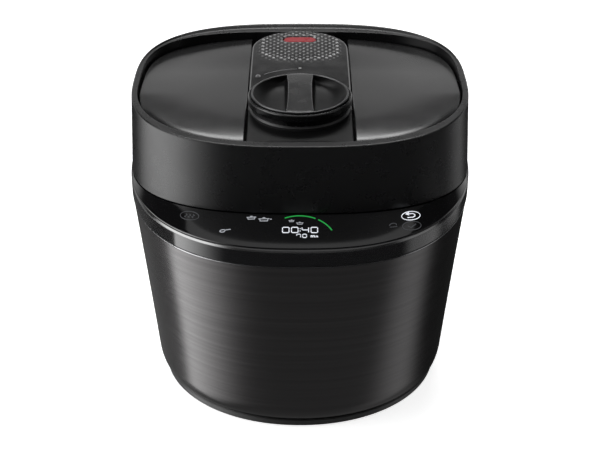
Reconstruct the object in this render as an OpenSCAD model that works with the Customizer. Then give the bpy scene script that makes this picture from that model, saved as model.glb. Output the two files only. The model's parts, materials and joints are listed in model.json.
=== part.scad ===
// Electric pressure cooker with a hinged lid, millimetres, +Z up, front towards -Y.
// The origin is on the table, at the centre of the cooker's box.
// Every sub-part is drawn about the pot's axis and then moved to it by at_pot().

/* [Body] */
// Half width of the collar, the widest piece
collar_half_w = 160.5; // [156:0.5:164]
// Reach of the collar in front of its centre line
collar_front = 200.4; // [196:0.2:204]
// Reach of the collar behind its centre line
collar_back = 146.8; // [145:0.2:148]
// Height of the collar's outer edge
collar_z = 238.5; // [237.5:0.1:239.5]
// Height of the bright trim line under the collar
trim_z = 221.8; // [219.5:0.1:222.5]
// Height of the steel wrap's lower edge
wrap_z = 10.2; // [9:0.1:12]
// Rise of the control shelf for each millimetre inwards
shelf_slope = 0.28; // [0.2:0.01:0.3]

/* [Lid] */
// Height of the lid's rim
rim_z = 314; // [313.5:0.1:316]
// Half width of the rim
rim_half_w = 156.6; // [155:0.2:157]
// Draft of the lid's side, from the rim to its lower edge
lid_flare = 3.3; // [2:0.1:3.6]
// Gap between the lid's lower edge and the collar
lid_gap = 1; // [0.6:0.1:1.4]
// Height of the lid's deck, on which the top panels stand
deck_z = 294; // [293:0.5:295]

/* [Knob] */
// Distance of the knob's axis in front of the pot's axis
knob_reach = 61.5; // [61:0.1:62]
// Radius of the knob's flange
knob_r = 47.3; // [46:0.1:47.6]
// Width of the grip bar
grip_w = 20.5; // [18:0.5:24]

/* [Pots] */
// Inside radius of the removable inner pot
pot_r = 110; // [108:0.5:110]
// Height of the inner pot's underside
pot_floor_z = 70; // [68:0.5:72]
// Height of the outer pot's flange top
flange_z = 225; // [224.5:0.1:225]

/* [Hidden] */

$fn = 64;
eps = 0.01;
// Points around each lofted outline
SIDES = 72;

// An outline is [half width, front reach, back reach, front exponent, back exponent, centre y].
collar_y = 3.2;
collar_line = [collar_half_w, collar_front, collar_back, 2.465, 2.78, collar_y];
wrap_top_line = [collar_half_w - 0.5, collar_front - 0.5, collar_back - 0.5, 2.465, 2.78, collar_y];
wrap_base_line = [collar_half_w - 16.2, collar_front - 63.7, collar_back - 16.2, 2.05, 2.05, collar_y];
rim_line = [rim_half_w, 150.3, 142.8, 2.66, 2.78, 0];
lid_edge_line = [rim_half_w + lid_flare, 150.3 + lid_flare, 142.8 + lid_flare, 2.66, 2.78, 0];
well_line = [151, 131, 135.4, 2.5, 3.4, -10];
// Fall of the rim's inner edge at the back, and the thickness of the wall below it
rim_sink = 2.6;
well_t = 1.4;
// Height below which the wrap rounds in towards the base, and how far it rounds in
wrap_round_z = 30;
wrap_round = 7.5;
wrap_t = 0.8;
collar_t = 2.5;
collar_bore_r = 137;
basin_z = 206;
lid_t = 2.6;

// Hinge axis, in the pot's frame
hinge_y = 156;
hinge_z = 228;
hinge_pin_r = 3;
run_gap = 0.05;
back_reach = hinge_y + 12;
front_reach = collar_front - collar_y;
pot_y = (front_reach - back_reach) / 2;

foot_h = 3;
tray_floor_z = foot_h;
tray_t = 2.5;
foot_spots = [for (sx = [-1, 1], sy = [-1, 1]) [88 * sx, collar_y + 78 * sy]];

pot_wall = 1.5;
outer_pot_r = pot_r + 4;
outer_pot_wall = 1.2;
outer_pot_floor_z = 52;
flange_t = 3;
flange_r = pot_r + 9;
bayonet_r = pot_r + 14.6;
bayonet_n = 10;
bayonet_arc = 14;
lock_ring_r = bayonet_r + 2.4;

pinion_teeth = 24;
lock_teeth = 40;
gear_module = 2 * knob_reach / (pinion_teeth + lock_teeth);
lock_gear_r = gear_module * lock_teeth / 2;
gear_z = 249;
gear_h = 5;
spider_t = 3;
hub_r = 30;
hub_bore_r = 23;

plate_z = 234;
plate_t = 2;
knob_at = [0, -knob_reach, 0];
float_at = [0, 88, 0];
indicator_at = [0, 103.3, 0];
shaft_r = 7;
rod_r = 3;
rod_seat_z = 308;
valve_lift = 3;

bridge_half_w = 48;
bridge_end_y = 80;
bridge_end_b = 44;
bridge_front_y = -137;
bridge_slope = 5 / 255;
bridge_mid_z = 310.55;
bridge_t = 2.5;

inlet_w = 56;
inlet_h = 34;
inlet_z = 38;
inlet_back = 138;

function lerp(a, b, k) = a + (b - a) * k;
function rounded_power(v, n) = sign(v) * pow(abs(v), 2 / n);
// A point of an outline at turn t, drawn in by inset
function plan_point(o, t, inset = 0) = let (front = sin(t) < 0)
    [(o[0] - inset) * rounded_power(cos(t), front ? o[3] : o[4]),
     o[5] + ((front ? o[1] : o[2]) - inset) * rounded_power(sin(t), front ? o[3] : o[4])];
function turn(i) = i * 360 / SIDES;
function loop(o, z, inset = 0) =
    [for (i = [0:SIDES - 1]) let (p = plan_point(o, turn(i), inset)) [p[0], p[1], z]];
function circle_loop(r, z) = [for (i = [0:SIDES - 1]) [r * cos(turn(i)), r * sin(turn(i)), z]];
// A loop that sinks towards the back, as the rim's inner edge does
function sunk_loop(o, z, inset = 0) = [for (i = [0:SIDES - 1])
    let (p = plan_point(o, turn(i), inset)) [p[0], p[1], z - rim_sink * max(0, sin(turn(i)))]];
function flat_loop(o, inset = 0) = [for (i = [0:SIDES - 1]) plan_point(o, turn(i), inset)];

// The steel wrap's outline at height z
function wrap_inset(z) = z >= wrap_round_z ? 0 :
    let (q = 0.95 * (wrap_round_z - z) / (wrap_round_z - wrap_z)) wrap_round * (1 - sqrt(1 - q * q));
function wrap_line(z) = lerp(wrap_top_line, wrap_base_line, (trim_z - z) / (trim_z - wrap_z));
function wrap_loop(z, inset = 0) = loop(wrap_line(z), z, wrap_inset(z) + inset);

// Height of the control shelf, which rises inwards from the collar's edge
function shelf_z(p, t) = collar_z + shelf_slope * norm(plan_point(collar_line, t) - p);
function shelf_loop(o, inset = 0, lift = 0) = [for (i = [0:SIDES - 1])
    let (p = plan_point(o, turn(i), inset)) [p[0], p[1], shelf_z(p, turn(i)) + lift]];
function bore_shelf_loop(r, lift) = [for (i = [0:SIDES - 1])
    let (p = plan_point(lid_edge_line, turn(i))) [r * cos(turn(i)), r * sin(turn(i)),
        shelf_z(p, turn(i)) + lift]];

// The top panels fall from the front rim towards the back
panel_front_z = 312;
panel_fall = 12.5;
function panel_z(y) = panel_front_z - panel_fall * pow(max(0, (y + 141) / 272), 1.8);

module at_pot() translate([0, pot_y, 0]) children();

// Triangles between ring i and ring k of n points each, clockwise from outside
function skin(i, k, n) = [for (j = [0:n - 1]) let (m = (j + 1) % n)
    each [[i * n + j, k * n + j, k * n + m], [i * n + j, k * n + m, i * n + m]]];

// A closed wall: loops run up the outside, over the top and down the inside
module wall(loops) {
    n = len(loops[0]);
    m = len(loops);
    polyhedron(points = [for (l = loops) each l],
        faces = [for (i = [0:m - 1]) each skin(i, (i + 1) % m, n)], convexity = 6);
}

// A solid block from its lowest loop to its highest
module block(loops) {
    n = len(loops[0]);
    m = len(loops);
    polyhedron(points = [for (l = loops) each l],
        faces = concat([for (i = [0:m - 2]) each skin(i, i + 1, n)],
            [for (j = [1:n - 2]) [0, j, j + 1]],
            [for (j = [1:n - 2]) [(m - 1) * n, (m - 1) * n + j + 1, (m - 1) * n + j]]), convexity = 6);
}

// A round wire wound along +Z
module coil(r, wire_r, height, turns, per_turn = 10, sides = 6) {
    steps = turns * per_turn;
    n = sides;
    rise = (height - 2 * wire_r) / steps;
    points = [for (i = [0:steps]) let (a = i * 360 / per_turn)
        for (j = [0:n - 1]) let (b = j * 360 / n, q = r + wire_r * cos(b))
            [q * cos(a), q * sin(a), wire_r + rise * i + wire_r * sin(b)]];
    faces = concat([for (i = [0:steps - 1]) for (j = [0:n - 1]) let (k = (j + 1) % n)
            each [[i * n + j, (i + 1) * n + j, (i + 1) * n + k], [i * n + j, (i + 1) * n + k, i * n + k]]],
        [for (j = [1:n - 2]) [0, j, j + 1]],
        [for (j = [1:n - 2]) [steps * n, steps * n + j + 1, steps * n + j]]);
    polyhedron(points = points, faces = [for (f = faces) [f[0], f[2], f[1]]], convexity = 8);
}

// A screw that stands on its head, shank upwards
module screw(shank_r, length, head_r, head_h) {
    difference() {
        union() {
            cylinder(r = head_r, h = head_h);
            translate([0, 0, head_h - eps]) cylinder(r = shank_r, h = length + eps);
        }
        for (a = [0, 90]) rotate([0, 0, a])
            translate([-head_r * 0.7, -0.5, -eps]) cube([head_r * 1.4, 1, head_h * 0.5]);
    }
}

module tube(outer_r, inner_r, z, h) {
    translate([0, 0, z]) difference() {
        cylinder(r = outer_r, h = h);
        translate([0, 0, -eps]) cylinder(r = inner_r, h = h + 2 * eps);
    }
}

// A box given by its x, y and z spans
module span(x, y, z) translate([x[0], y[0], z[0]]) cube([x[1] - x[0], y[1] - y[0], z[1] - z[0]]);

// A spur gear with a tooth centred on +X, toothed only within half_arc of the angle at
module gear(teeth, z, at = 0, half_arc = 181) {
    pitch_r = gear_module * teeth / 2;
    step = 360 / teeth;
    function gap_to(a) = abs((a - at + 540) % 360 - 180);
    shape = [for (i = [0:teeth - 1]) let (a = i * step) each gap_to(a) > half_arc ?
        [for (f = [-0.25, 0.25]) (pitch_r - gear_module) * [cos(a + f * step), sin(a + f * step)]] :
        [for (q = [[-0.3, -1], [-0.125, 0.7], [0.125, 0.7], [0.3, -1]])
            (pitch_r + q[1] * gear_module) * [cos(a + q[0] * step), sin(a + q[0] * step)]]];
    translate([0, 0, z]) linear_extrude(height = gear_h) polygon(shape);
}

// ---------------------------------------------------------------- base

module feet() color("black") at_pot() for (p = foot_spots) translate([p[0], p[1], 0]) {
    cylinder(r1 = 9, r2 = 10, h = foot_h);
    cylinder(r = 4, h = foot_h + 2);
}

module vent_slots() for (i = [-4:4])
    translate([i * 11 - 2, collar_y - 30, tray_floor_z - 1]) cube([4, 60, tray_t + 2]);

module base_tray() color("dimgray") at_pot() {
    top = wrap_z - 0.2;
    base = wrap_line(wrap_z);
    round_in = wrap_inset(wrap_z);
    difference() {
        union() {
            block([loop(base, tray_floor_z, round_in + 4.5), loop(base, tray_floor_z + 1.5, round_in + 2.2),
                loop(base, top, round_in + 0.3), loop(base, top, round_in + 4),
                loop(base, tray_floor_z + tray_t, round_in + 6)]);
        }
        for (p = foot_spots) translate([p[0], p[1], 0]) {
            translate([0, 0, tray_floor_z - 1]) cylinder(r = 4, h = 3);
        }
        for (p = foot_spots) translate([p[0] * 0.72, p[1], tray_floor_z - 1]) {
            cylinder(r = 2.2, h = 5);
            cylinder(r = 4.2, h = 2);
        }
        vent_slots();
    }
    for (x = [-38, 38], y = [66, 104])
        translate([x, y, tray_floor_z + tray_t - 0.01]) cylinder(r = 3, h = 12 - tray_floor_z - tray_t + 0.01);
}

module base_screws() color("silver") at_pot() for (p = foot_spots)
    translate([p[0] * 0.72, p[1], tray_floor_z]) screw(2, 12, 4, 1);

module body_wrap() color("#3a3838") at_pot() {
    heights = [wrap_z, 13, 17, 23, 30, 120, trim_z];
    difference() {
        wall(concat([for (z = heights) wrap_loop(z)],
            [for (i = [len(heights) - 1:-1:0]) wrap_loop(heights[i], wrap_t)]));
        span([-inlet_w / 2 - 0.4, inlet_w / 2 + 0.4], [60, 160],
            [inlet_z - inlet_h / 2 - 0.4, inlet_z + inlet_h / 2 + 0.4]);
    }
}

module trim_ring() color("silver") at_pot()
    wall([loop(collar_line, trim_z + 0.1, 0.6), loop(collar_line, trim_z + 0.5, 0.1),
        loop(collar_line, trim_z + 1.4, 0.1), loop(collar_line, trim_z + 1.4, 4),
        loop(collar_line, trim_z + 0.1, 4)]);

// Solid inside of the body, used to fit what is fastened to the back
module body_space(gap) {
    block([loop(wrap_line(100), 100, -gap), loop(wrap_line(trim_z), trim_z, -gap),
        loop(collar_line, trim_z + 0.05, -gap), loop(collar_line, collar_z + 4, -gap)]);
}

module upper_collar() color("#161616") at_pot() {
    low = trim_z + 1.5;
    difference() {
        wall([loop(collar_line, low), loop(collar_line, collar_z - 2.4),
            loop(collar_line, collar_z + 0.2, 2.4), shelf_loop(lid_edge_line),
            bore_shelf_loop(collar_bore_r, 0), circle_loop(collar_bore_r, basin_z),
            circle_loop(collar_bore_r + collar_t, basin_z), bore_shelf_loop(collar_bore_r + collar_t, -collar_t),
            shelf_loop(lid_edge_line, -1, -collar_t), loop(collar_line, collar_z - 3, 3.2),
            loop(collar_line, low, collar_t)]);
        // window for the display
        span([-40, 40], [-186, -162], [220, 260]);
    }
}

// The glossy panel lies on the shelf between the lid and the collar's edge
panel_from = 198;
panel_to = 342;
panel_steps = 36;
function glass_point(k, side, lift) = let (t = lerp(panel_from, panel_to, k / panel_steps),
    outer = plan_point(collar_line, t), inner = plan_point(lid_edge_line, t), width = norm(outer - inner),
    p = side == 0 ? lerp(outer, inner, 2.6 / width) : lerp(inner, outer, 1.4 / width))
    [p[0], p[1], shelf_z(p, t) + lift];

module control_panel() color("#0b0b0d") at_pot() {
    rows = [for (k = [0:panel_steps]) [glass_point(k, 0, 0.05), glass_point(k, 0, 1.2),
        glass_point(k, 1, 1.2), glass_point(k, 1, 0.05)]];
    n = 4;
    polyhedron(points = [for (r = rows) each r],
        faces = concat([for (i = [0:panel_steps - 1]) for (j = [0:n - 1]) let (m = (j + 1) % n)
                each [[i * n + j, i * n + m, (i + 1) * n + m], [i * n + j, (i + 1) * n + m, (i + 1) * n + j]]],
            [[0, 3, 2], [0, 2, 1]], [[panel_steps * n, panel_steps * n + 1, panel_steps * n + 2],
                [panel_steps * n, panel_steps * n + 2, panel_steps * n + 3]]), convexity = 4);
}

module display_module() color("darkgreen") at_pot() {
    at_y = -174;
    translate([0, at_y, collar_z + shelf_slope * (front_reach + at_y)]) rotate([atan(shelf_slope), 0, 0]) {
        span([-52, 52], [-10, 10], [-10.6, -9]);
        span([-36, 36], [-7.5, 7.5], [-9, -0.7]);
        for (x = [-47, 47]) translate([x, 0, -9]) cylinder(r = 3, h = 4.5);
    }
}

module power_inlet() color("#151515") at_pot() {
    depth = 18;
    z0 = inlet_z - inlet_h / 2;
    difference() {
        span([-inlet_w / 2, inlet_w / 2], [117, inlet_back], [z0, z0 + inlet_h]);
        translate([0, inlet_back + 1, inlet_z]) rotate([90, 0, 0]) linear_extrude(height = depth + 1)
            polygon([[-12.3, -8.6], [12.3, -8.6], [12.3, 3.6], [7.3, 8.6], [-7.3, 8.6], [-12.3, 3.6]]);
    }
}

module inlet_pins() color("silver") at_pot()
    for (p = [[-7, -2.5], [7, -2.5], [0, 2.5]])
        span([p[0] - 1, p[0] + 1], [inlet_back - 18, inlet_back - 5.5], [inlet_z + p[1] - 2, inlet_z + p[1] + 2]);

module power_board() color("seagreen") at_pot() difference() {
    span([-46, 46], [60, 110], [12, 13.6]);
    for (x = [-38, 38], y = [66, 104]) translate([x, y, 11]) cylinder(r = 1.6, h = 4);
}

module board_parts() color("goldenrod") at_pot() {
    span([-34, -14], [72, 92], [13.6, 30]);
    span([18, 32], [70, 82], [13.6, 29]);
    translate([4, 78, 13.6]) cylinder(r = 7, h = 24);
    span([20, 42], [86, 94], [13.6, 22]);
    for (x = [-32, -24, -16]) translate([x, 100, 13.6]) cylinder(r = 2.5, h = 10);
}

// Posts between the tray and the outer pot's floor
post_r = 5;
post_ring = 82;
module support_posts() color("silver") at_pot() for (a = [45:90:315]) rotate([0, 0, a])
    translate([post_ring, 0, tray_floor_z + tray_t])
        cylinder(r = post_r, h = outer_pot_floor_z - tray_floor_z - tray_t);

module heat_shield() color("lightgray") at_pot() tube(124.6, 124, 62, basin_z - 62);

module basin_ring() color("#1c1c1c") at_pot()
    tube(collar_bore_r - 0.1, outer_pot_r + outer_pot_wall + 0.1, basin_z, 2);

module outer_pot() color("gainsboro") at_pot() {
    r = outer_pot_r + outer_pot_wall;
    difference() {
        union() {
            translate([0, 0, outer_pot_floor_z]) cylinder(r = r, h = flange_z - outer_pot_floor_z);
            translate([0, 0, flange_z - flange_t]) cylinder(r = flange_r, h = flange_t);
            for (i = [0:bayonet_n - 1]) rotate([0, 0, i * 360 / bayonet_n - bayonet_arc / 2])
                rotate_extrude(angle = bayonet_arc)
                    translate([flange_r - 2, flange_z - flange_t]) square([bayonet_r - flange_r + 2, flange_t]);
        }
        translate([0, 0, outer_pot_floor_z + 2]) cylinder(r = outer_pot_r, h = 200);
        translate([0, 0, outer_pot_floor_z - 1]) cylinder(r = 20, h = 4);
    }
}

module inner_pot() color("whitesmoke") at_pot() {
    bend = 12;
    outer = pot_r + pot_wall;
    inner_bend = bend - pot_wall;
    rim = flange_z + 0.2;
    rotate_extrude() polygon(concat(
        [[0, pot_floor_z], [outer - bend, pot_floor_z]],
        [for (a = [10:10:80]) [outer - bend + bend * sin(a), pot_floor_z + bend - bend * cos(a)]],
        [[outer, pot_floor_z + bend], [outer, rim], [flange_r, rim], [flange_r, rim + 1.2],
         [flange_r - 0.8, rim + 2], [pot_r, rim + 2], [pot_r, pot_floor_z + bend]],
        [for (a = [80:-10:10]) [pot_r - inner_bend + inner_bend * sin(a),
            pot_floor_z + pot_wall + inner_bend - inner_bend * cos(a)]],
        [[pot_r - inner_bend, pot_floor_z + pot_wall], [0, pot_floor_z + pot_wall]]));
}

sensor_hole_r = 14;
module heating_plate() color("silver") at_pot() difference() {
    union() {
        translate([0, 0, pot_floor_z - 9]) cylinder(r = 92, h = 9);
        rotate_extrude() translate([70, pot_floor_z - 9]) circle(r = 4);
    }
    translate([0, 0, pot_floor_z - 14]) cylinder(r = sensor_hole_r, h = 20);
}

module leaf_plate() color("lightslategray") at_pot() {
    low = outer_pot_floor_z + 2;
    tube(48, 18, low, 1.2);
    for (a = [0:120:240]) rotate([0, 0, a + 30]) span([30, 62], [-7, 7], [low + 1.2, low + 2.4]);
    tube(62, 50, low + 2.4, pot_floor_z - 9 - low - 2.4);
}

module sensor_bracket() color("silver") at_pot() {
    tube(24, 19.8, outer_pot_floor_z - 2, 2);
    tube(19.8, 17.5, outer_pot_floor_z - 6, 6);
    tube(17.5, 3.4, outer_pot_floor_z - 6, 1.5);
}

module sensor_cap() color("silver") at_pot() {
    difference() {
        union() {
            translate([0, 0, pot_floor_z - 11]) cylinder(r = 12.5, h = 9.7);
            translate([0, 0, pot_floor_z - 1.3]) cylinder(r1 = 12.5, r2 = 11.5, h = 1);
        }
        translate([0, 0, pot_floor_z - 12]) cylinder(r = 9.5, h = 4);
    }
    translate([0, 0, outer_pot_floor_z - 8]) cylinder(r = 3, h = pot_floor_z - outer_pot_floor_z);
}

module sensor_spring() color("gray") at_pot() translate([0, 0, outer_pot_floor_z - 4.4])
    coil(7.2, 0.8, pot_floor_z - 8 - outer_pot_floor_z + 4.2, 4);

// ---------------------------------------------------------------- hinge and drip cup

ear_x = 62;
ear_t = 3;
knuckle_from = 46;
knuckle_to = 58;

module along_x(y, z) translate([0, y, z]) rotate([0, 90, 0]) children();

module hinge_bracket() color("slategray") at_pot() difference() {
    union() {
        for (s = [-1, 1]) translate([s > 0 ? ear_x : -ear_x - ear_t, 0, 0]) {
            along_x(hinge_y, hinge_z) cylinder(r = 7, h = ear_t);
            span([0, ear_t], [130, hinge_y], [hinge_z - 14, hinge_z + 7]);
        }
        span([-ear_x - ear_t, ear_x + ear_t], [130, hinge_y + 2], [hinge_z - 16.5, hinge_z - 14]);
    }
    body_space(0.2);
    translate([-100, 0, 0]) along_x(hinge_y, hinge_z) cylinder(r = hinge_pin_r + run_gap, h = 200);
}

module hinge_pin() color("silver") at_pot()
    translate([-ear_x - ear_t - 2, 0, 0]) along_x(hinge_y, hinge_z) {
        cylinder(r = hinge_pin_r, h = 2 * (ear_x + ear_t + 2));
        cylinder(r = 4.5, h = 1.8);
        translate([0, 0, 2 * (ear_x + ear_t + 2) - 1.8]) cylinder(r = 4.5, h = 1.8);
    }

module hinge_springs() color("gray") at_pot() for (x = [-44, 18])
    translate([x, 0, 0]) along_x(hinge_y, hinge_z) coil(4.7, 0.8, 26, 5);

module hinge_cover() color("#1c1c1c") at_pot() {
    low = hinge_z - 25;
    high = hinge_z + 9.5;
    half = 74;
    t = 2.2;
    back = back_reach;
    difference() {
        translate([-half, 0, 0]) rotate([90, 0, 90]) linear_extrude(height = 2 * half)
            polygon([[128, low], [back - 8, low], [back - 2, low + 4], [back, low + 10],
                [back, high - 9], [back - 2, high - 3], [back - 6, high], [128, high]]);
        body_space(0.2);
        translate([-half + t, 0, 0]) rotate([90, 0, 90]) linear_extrude(height = 2 * (half - t))
            polygon([[120, low + t], [back - 8 - t / 2, low + t], [back - t, low + 10],
                [back - t, high - 9], [back - 6 - t / 2, high - t], [120, high - t]]);
        // the lid's knuckles swing through these slots
        for (s = [-1, 1]) span([s > 0 ? knuckle_from - 1 : -knuckle_to - 1, s > 0 ? knuckle_to + 1 : -knuckle_from + 1],
            [120, back + 1], [hinge_z - 9.5, high + 1]);
    }
}

cup_x = 30;
cup_low = 152;
cup_high = 194;
cup_y = 149;
rail_z = cup_high - 10;
module cup_bracket() color("#1c1c1c") at_pot() difference() {
    union() {
        span([-cup_x - 4, cup_x + 4], [136, cup_y - 0.5], [cup_low - 4, cup_high + 2]);
        for (s = [-1, 1]) span([s > 0 ? cup_x + 0.5 : -cup_x - 4, s > 0 ? cup_x + 4 : -cup_x - 0.5],
            [140, cup_y + 9], [cup_low - 4, cup_high + 2]);
    }
    body_space(0.2);
    span([-cup_x - 2.5, cup_x + 2.5], [cup_y - 0.5, cup_y + 10], [rail_z - 0.3, rail_z + 3.3]);
}

module drip_cup() color("#9aa0a6") at_pot() difference() {
    union() {
        span([-cup_x, cup_x], [cup_y, back_reach - 3], [cup_low, cup_high]);
        span([-cup_x - 2, cup_x + 2], [cup_y, cup_y + 8.5], [rail_z, rail_z + 3]);
        span([-cup_x + 8, cup_x - 8], [back_reach - 3 - eps, back_reach - 0.5], [cup_low + 8, cup_low + 22]);
    }
    span([-cup_x + 1.6, cup_x - 1.6], [cup_y + 1.6, back_reach - 4.6], [cup_low + 2, cup_high + 1]);
}

// ---------------------------------------------------------------- lid

// Solid inside of the lid, used to fit the hinge arms to its back
module lid_space(gap) block([shelf_loop(lid_edge_line, -gap, lid_gap), loop(rim_line, rim_z - 2, -gap),
    loop(rim_line, rim_z, 1.8 - gap)]);

module lid_shell() color("#1b1b1b") at_pot()
    wall([shelf_loop(lid_edge_line, 0, lid_gap), loop(rim_line, rim_z - 2, 0), loop(rim_line, rim_z, 1.8),
        sunk_loop(well_line, rim_z, -0.6), sunk_loop(well_line, rim_z - 1, 0), loop(well_line, deck_z, 0),
        loop(well_line, deck_z, -well_t), sunk_loop(well_line, rim_z - 4, -well_t),
        loop(rim_line, rim_z - 4.5, lid_t + 0.4), shelf_loop(lid_edge_line, lid_t, lid_gap)]);

boss_spots = [[104, 84], [-104, 84], [112, -92], [-112, -92]];
liner_z = 252;
module lid_deck() color("#202020") at_pot() {
    difference() {
        translate([0, 0, deck_z - 3]) linear_extrude(height = 3) polygon(flat_loop(well_line, -well_t));
        translate([0, 0, deck_z - 4]) translate(knob_at) cylinder(r = 10, h = 6);
        translate([0, 0, deck_z - 4]) translate(float_at) cylinder(r = 4, h = 6);
    }
    for (p = boss_spots) translate([p[0], p[1], 0]) tube(4.5, 1.5, liner_z + 2, deck_z - 3 - liner_z - 2 + eps);
}

module panel_slab() {
    rows = 20;
    ys = [for (i = [0:rows]) lerp(-141, 131, i / rows)];
    rotate([90, 0, 90]) translate([0, 0, -160]) linear_extrude(height = 320)
        polygon(concat([for (y = ys) [y, panel_z(y)]], [for (i = [rows:-1:0]) [ys[i], panel_z(ys[i]) - bridge_t]]));
}

module top_panel(side) {
    intersection() {
        panel_slab();
        translate([0, 0, deck_z]) linear_extrude(height = 30) polygon(flat_loop(well_line, 0.5));
        if (side > 0) span([bridge_half_w + 0.5, 160], [-150, 150], [deck_z, rim_z]);
        else span([-160, -bridge_half_w - 0.5], [-150, 150], [deck_z, rim_z]);
    }
    for (p = [[80, -80], [118, 10], [80, 78]])
        translate([side * p[0], p[1], deck_z]) cylinder(r = 3, h = panel_z(p[1]) - deck_z - 1.6);
}

module top_panel_left() color("#3c3c3e") at_pot() top_panel(-1);
module top_panel_right() color("#3c3c3e") at_pot() top_panel(1);

// Outline of the central bridge, with its rounded back end
function bridge_outline(inset) = concat([[-bridge_half_w + inset, bridge_front_y + inset],
    [bridge_half_w - inset, bridge_front_y + inset]],
    [for (a = [0:7.5:180]) [(bridge_half_w - inset) * cos(a), bridge_end_y + (bridge_end_b - inset) * sin(a)]]);

// Everything under a plane that rises towards the back
module under_plane(drop) {
    ends = [-160, 160];
    rotate([90, 0, 90]) translate([0, 0, -80]) linear_extrude(height = 160)
        polygon([[ends[0], deck_z - 20], [ends[1], deck_z - 20],
            [ends[1], bridge_mid_z + bridge_slope * ends[1] - drop],
            [ends[0], bridge_mid_z + bridge_slope * ends[0] - drop]]);
}

slot_half = 17;
slot_r = 7;
module stadium(half, r, z, h) translate([0, 0, z]) {
    span([-half + r, half - r], [-r, r], [0, h]);
    for (s = [-1, 1]) translate([s * (half - r), 0, 0]) cylinder(r = r, h = h);
}

module vent_holes() for (row = [0:4], i = [-2:2])
    translate([i * 9 + (row % 2) * 4.5, 50 + row * 7.8, deck_z]) cylinder(r = 2.4, h = 30, $fn = 6);

module vent_bridge() color("#2b2b2c") at_pot() difference() {
    intersection() {
        translate([0, 0, deck_z]) linear_extrude(height = 30) polygon(bridge_outline(0));
        under_plane(0);
    }
    intersection() {
        translate([0, 0, deck_z - 1]) linear_extrude(height = 30) polygon(bridge_outline(2));
        under_plane(bridge_t);
    }
    translate(knob_at) translate([0, 0, deck_z]) cylinder(r = 43.3, h = 30);
    translate(indicator_at) stadium(slot_half, slot_r, deck_z + 4, 30);
    vent_holes();
}

module steam_duct() color("dimgray") at_pot() difference() {
    span([-20, 20], [-17, 80], [deck_z, deck_z + 8]);
    span([-18.4, 18.4], [-18, 78.4], [deck_z + 1.6, deck_z + 9]);
}

module knob_collar() color("#121212") at_pot() translate(knob_at) {
    tube(43, 40.5, deck_z, 22.3);
    tube(40.6, 35.5, 306, 10.3);
}

module shaft_bush() color("ivory") at_pot() translate(knob_at) {
    tube(10, shaft_r + run_gap, deck_z - 5, 8);
    tube(12.5, 9.9, deck_z - 5, 2);
}

// The lock ring turns on the hub, between its shoulder and a clip
clip_z = gear_z + gear_h + 0.5;
hub_screw_ring = 26.5;
module hub_holes(r, z, h) for (a = [0:120:240]) rotate([0, 0, a + 30])
    translate([hub_screw_ring, 0, z]) cylinder(r = r, h = h);

module lid_hub() color("silver") at_pot() difference() {
    union() {
        tube(hub_r, hub_bore_r, plate_z + plate_t, deck_z - 3 - plate_z - plate_t);
        tube(hub_r + 4, hub_bore_r, plate_z + plate_t, gear_z - spider_t - 0.4 - plate_z - plate_t);
    }
    tube(hub_r + 1, hub_r - 1.5, clip_z, 1.2);
    hub_holes(1.5, plate_z, 12);
}

module hub_clip() color("gray") at_pot() tube(hub_r + 3, hub_r - 1.5, clip_z, 1.2);

module lid_liner() color("#2a2a2a") at_pot() difference() {
    translate([0, 0, liner_z]) linear_extrude(height = 2) polygon(flat_loop(lid_edge_line, 5));
    translate([0, 0, liner_z - 1]) cylinder(r = 134, h = 4);
    for (p = boss_spots) translate([p[0], p[1], liner_z - 1]) cylinder(r = 1.8, h = 4);
}

module liner_screws() color("silver") at_pot() for (p = boss_spots)
    translate([p[0], p[1], liner_z - 1.6]) screw(1.5, 10, 3.6, 1.6);

module pressure_lid() color("gainsboro") at_pot() difference() {
    union() {
        translate([0, 0, plate_z]) cylinder(r = 123, h = plate_t);
        tube(123, 121.4, 228, plate_z - 228 + eps);
        translate([0, 0, 223]) cylinder(r = 4, h = plate_z - 223 + eps);
    }
    translate([0, 0, plate_z - 1]) translate(knob_at) cylinder(r = 6, h = 4);
    translate([0, 0, plate_z - 1]) translate(float_at) cylinder(r = 2.8, h = 4);
    hub_holes(1.8, plate_z - 1, 4);
}

module hub_screws() color("silver") at_pot() for (a = [0:120:240]) rotate([0, 0, a + 30])
    translate([hub_screw_ring, 0, plate_z - 1.5]) screw(1.5, 9, 3.2, 1.5);

module sealing_ring() color("lightsteelblue") at_pot() rotate_extrude()
    polygon([[105, 229.4], [107, 227.5], [116, 227.5], [117.4, 229], [117.4, 233.8], [114, 233.8],
        [112.5, 230.4], [109, 230.4], [108, 233.8], [105, 233.8]]);

module inner_lid() color("silver") at_pot() difference() {
    translate([0, 0, 229]) cylinder(r = 103.5, h = 1.5);
    translate([0, 0, 228]) cylinder(r = 4.2, h = 4);
    translate([0, 0, 228]) translate(knob_at) cylinder(r = 6.2, h = 4);
    translate([0, 0, 228]) translate(float_at) cylinder(r = 8, h = 4);
}

module inner_lid_grommet() color("lightsteelblue") at_pot() tube(9, 4.02, 224.4, 4.5);

module vent_pipe() color("silver") at_pot() translate(knob_at) {
    tube(6, 3.2, 226, 12.2);
    tube(9, 5.9, plate_z + plate_t, 1.6);
}

module filter_cap() color("silver") at_pot() translate(knob_at) difference() {
    union() {
        translate([0, 0, 220]) cylinder(r = 9, h = 8.8);
        translate([0, 0, 220]) cylinder(r = 10, h = 1.5);
    }
    translate([0, 0, 221.5]) cylinder(r = 6.05, h = 9);
    for (a = [0:60:300]) rotate([0, 0, a]) translate([5, 0, 224]) rotate([0, 90, 0]) cylinder(r = 1, h = 6);
}

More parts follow.
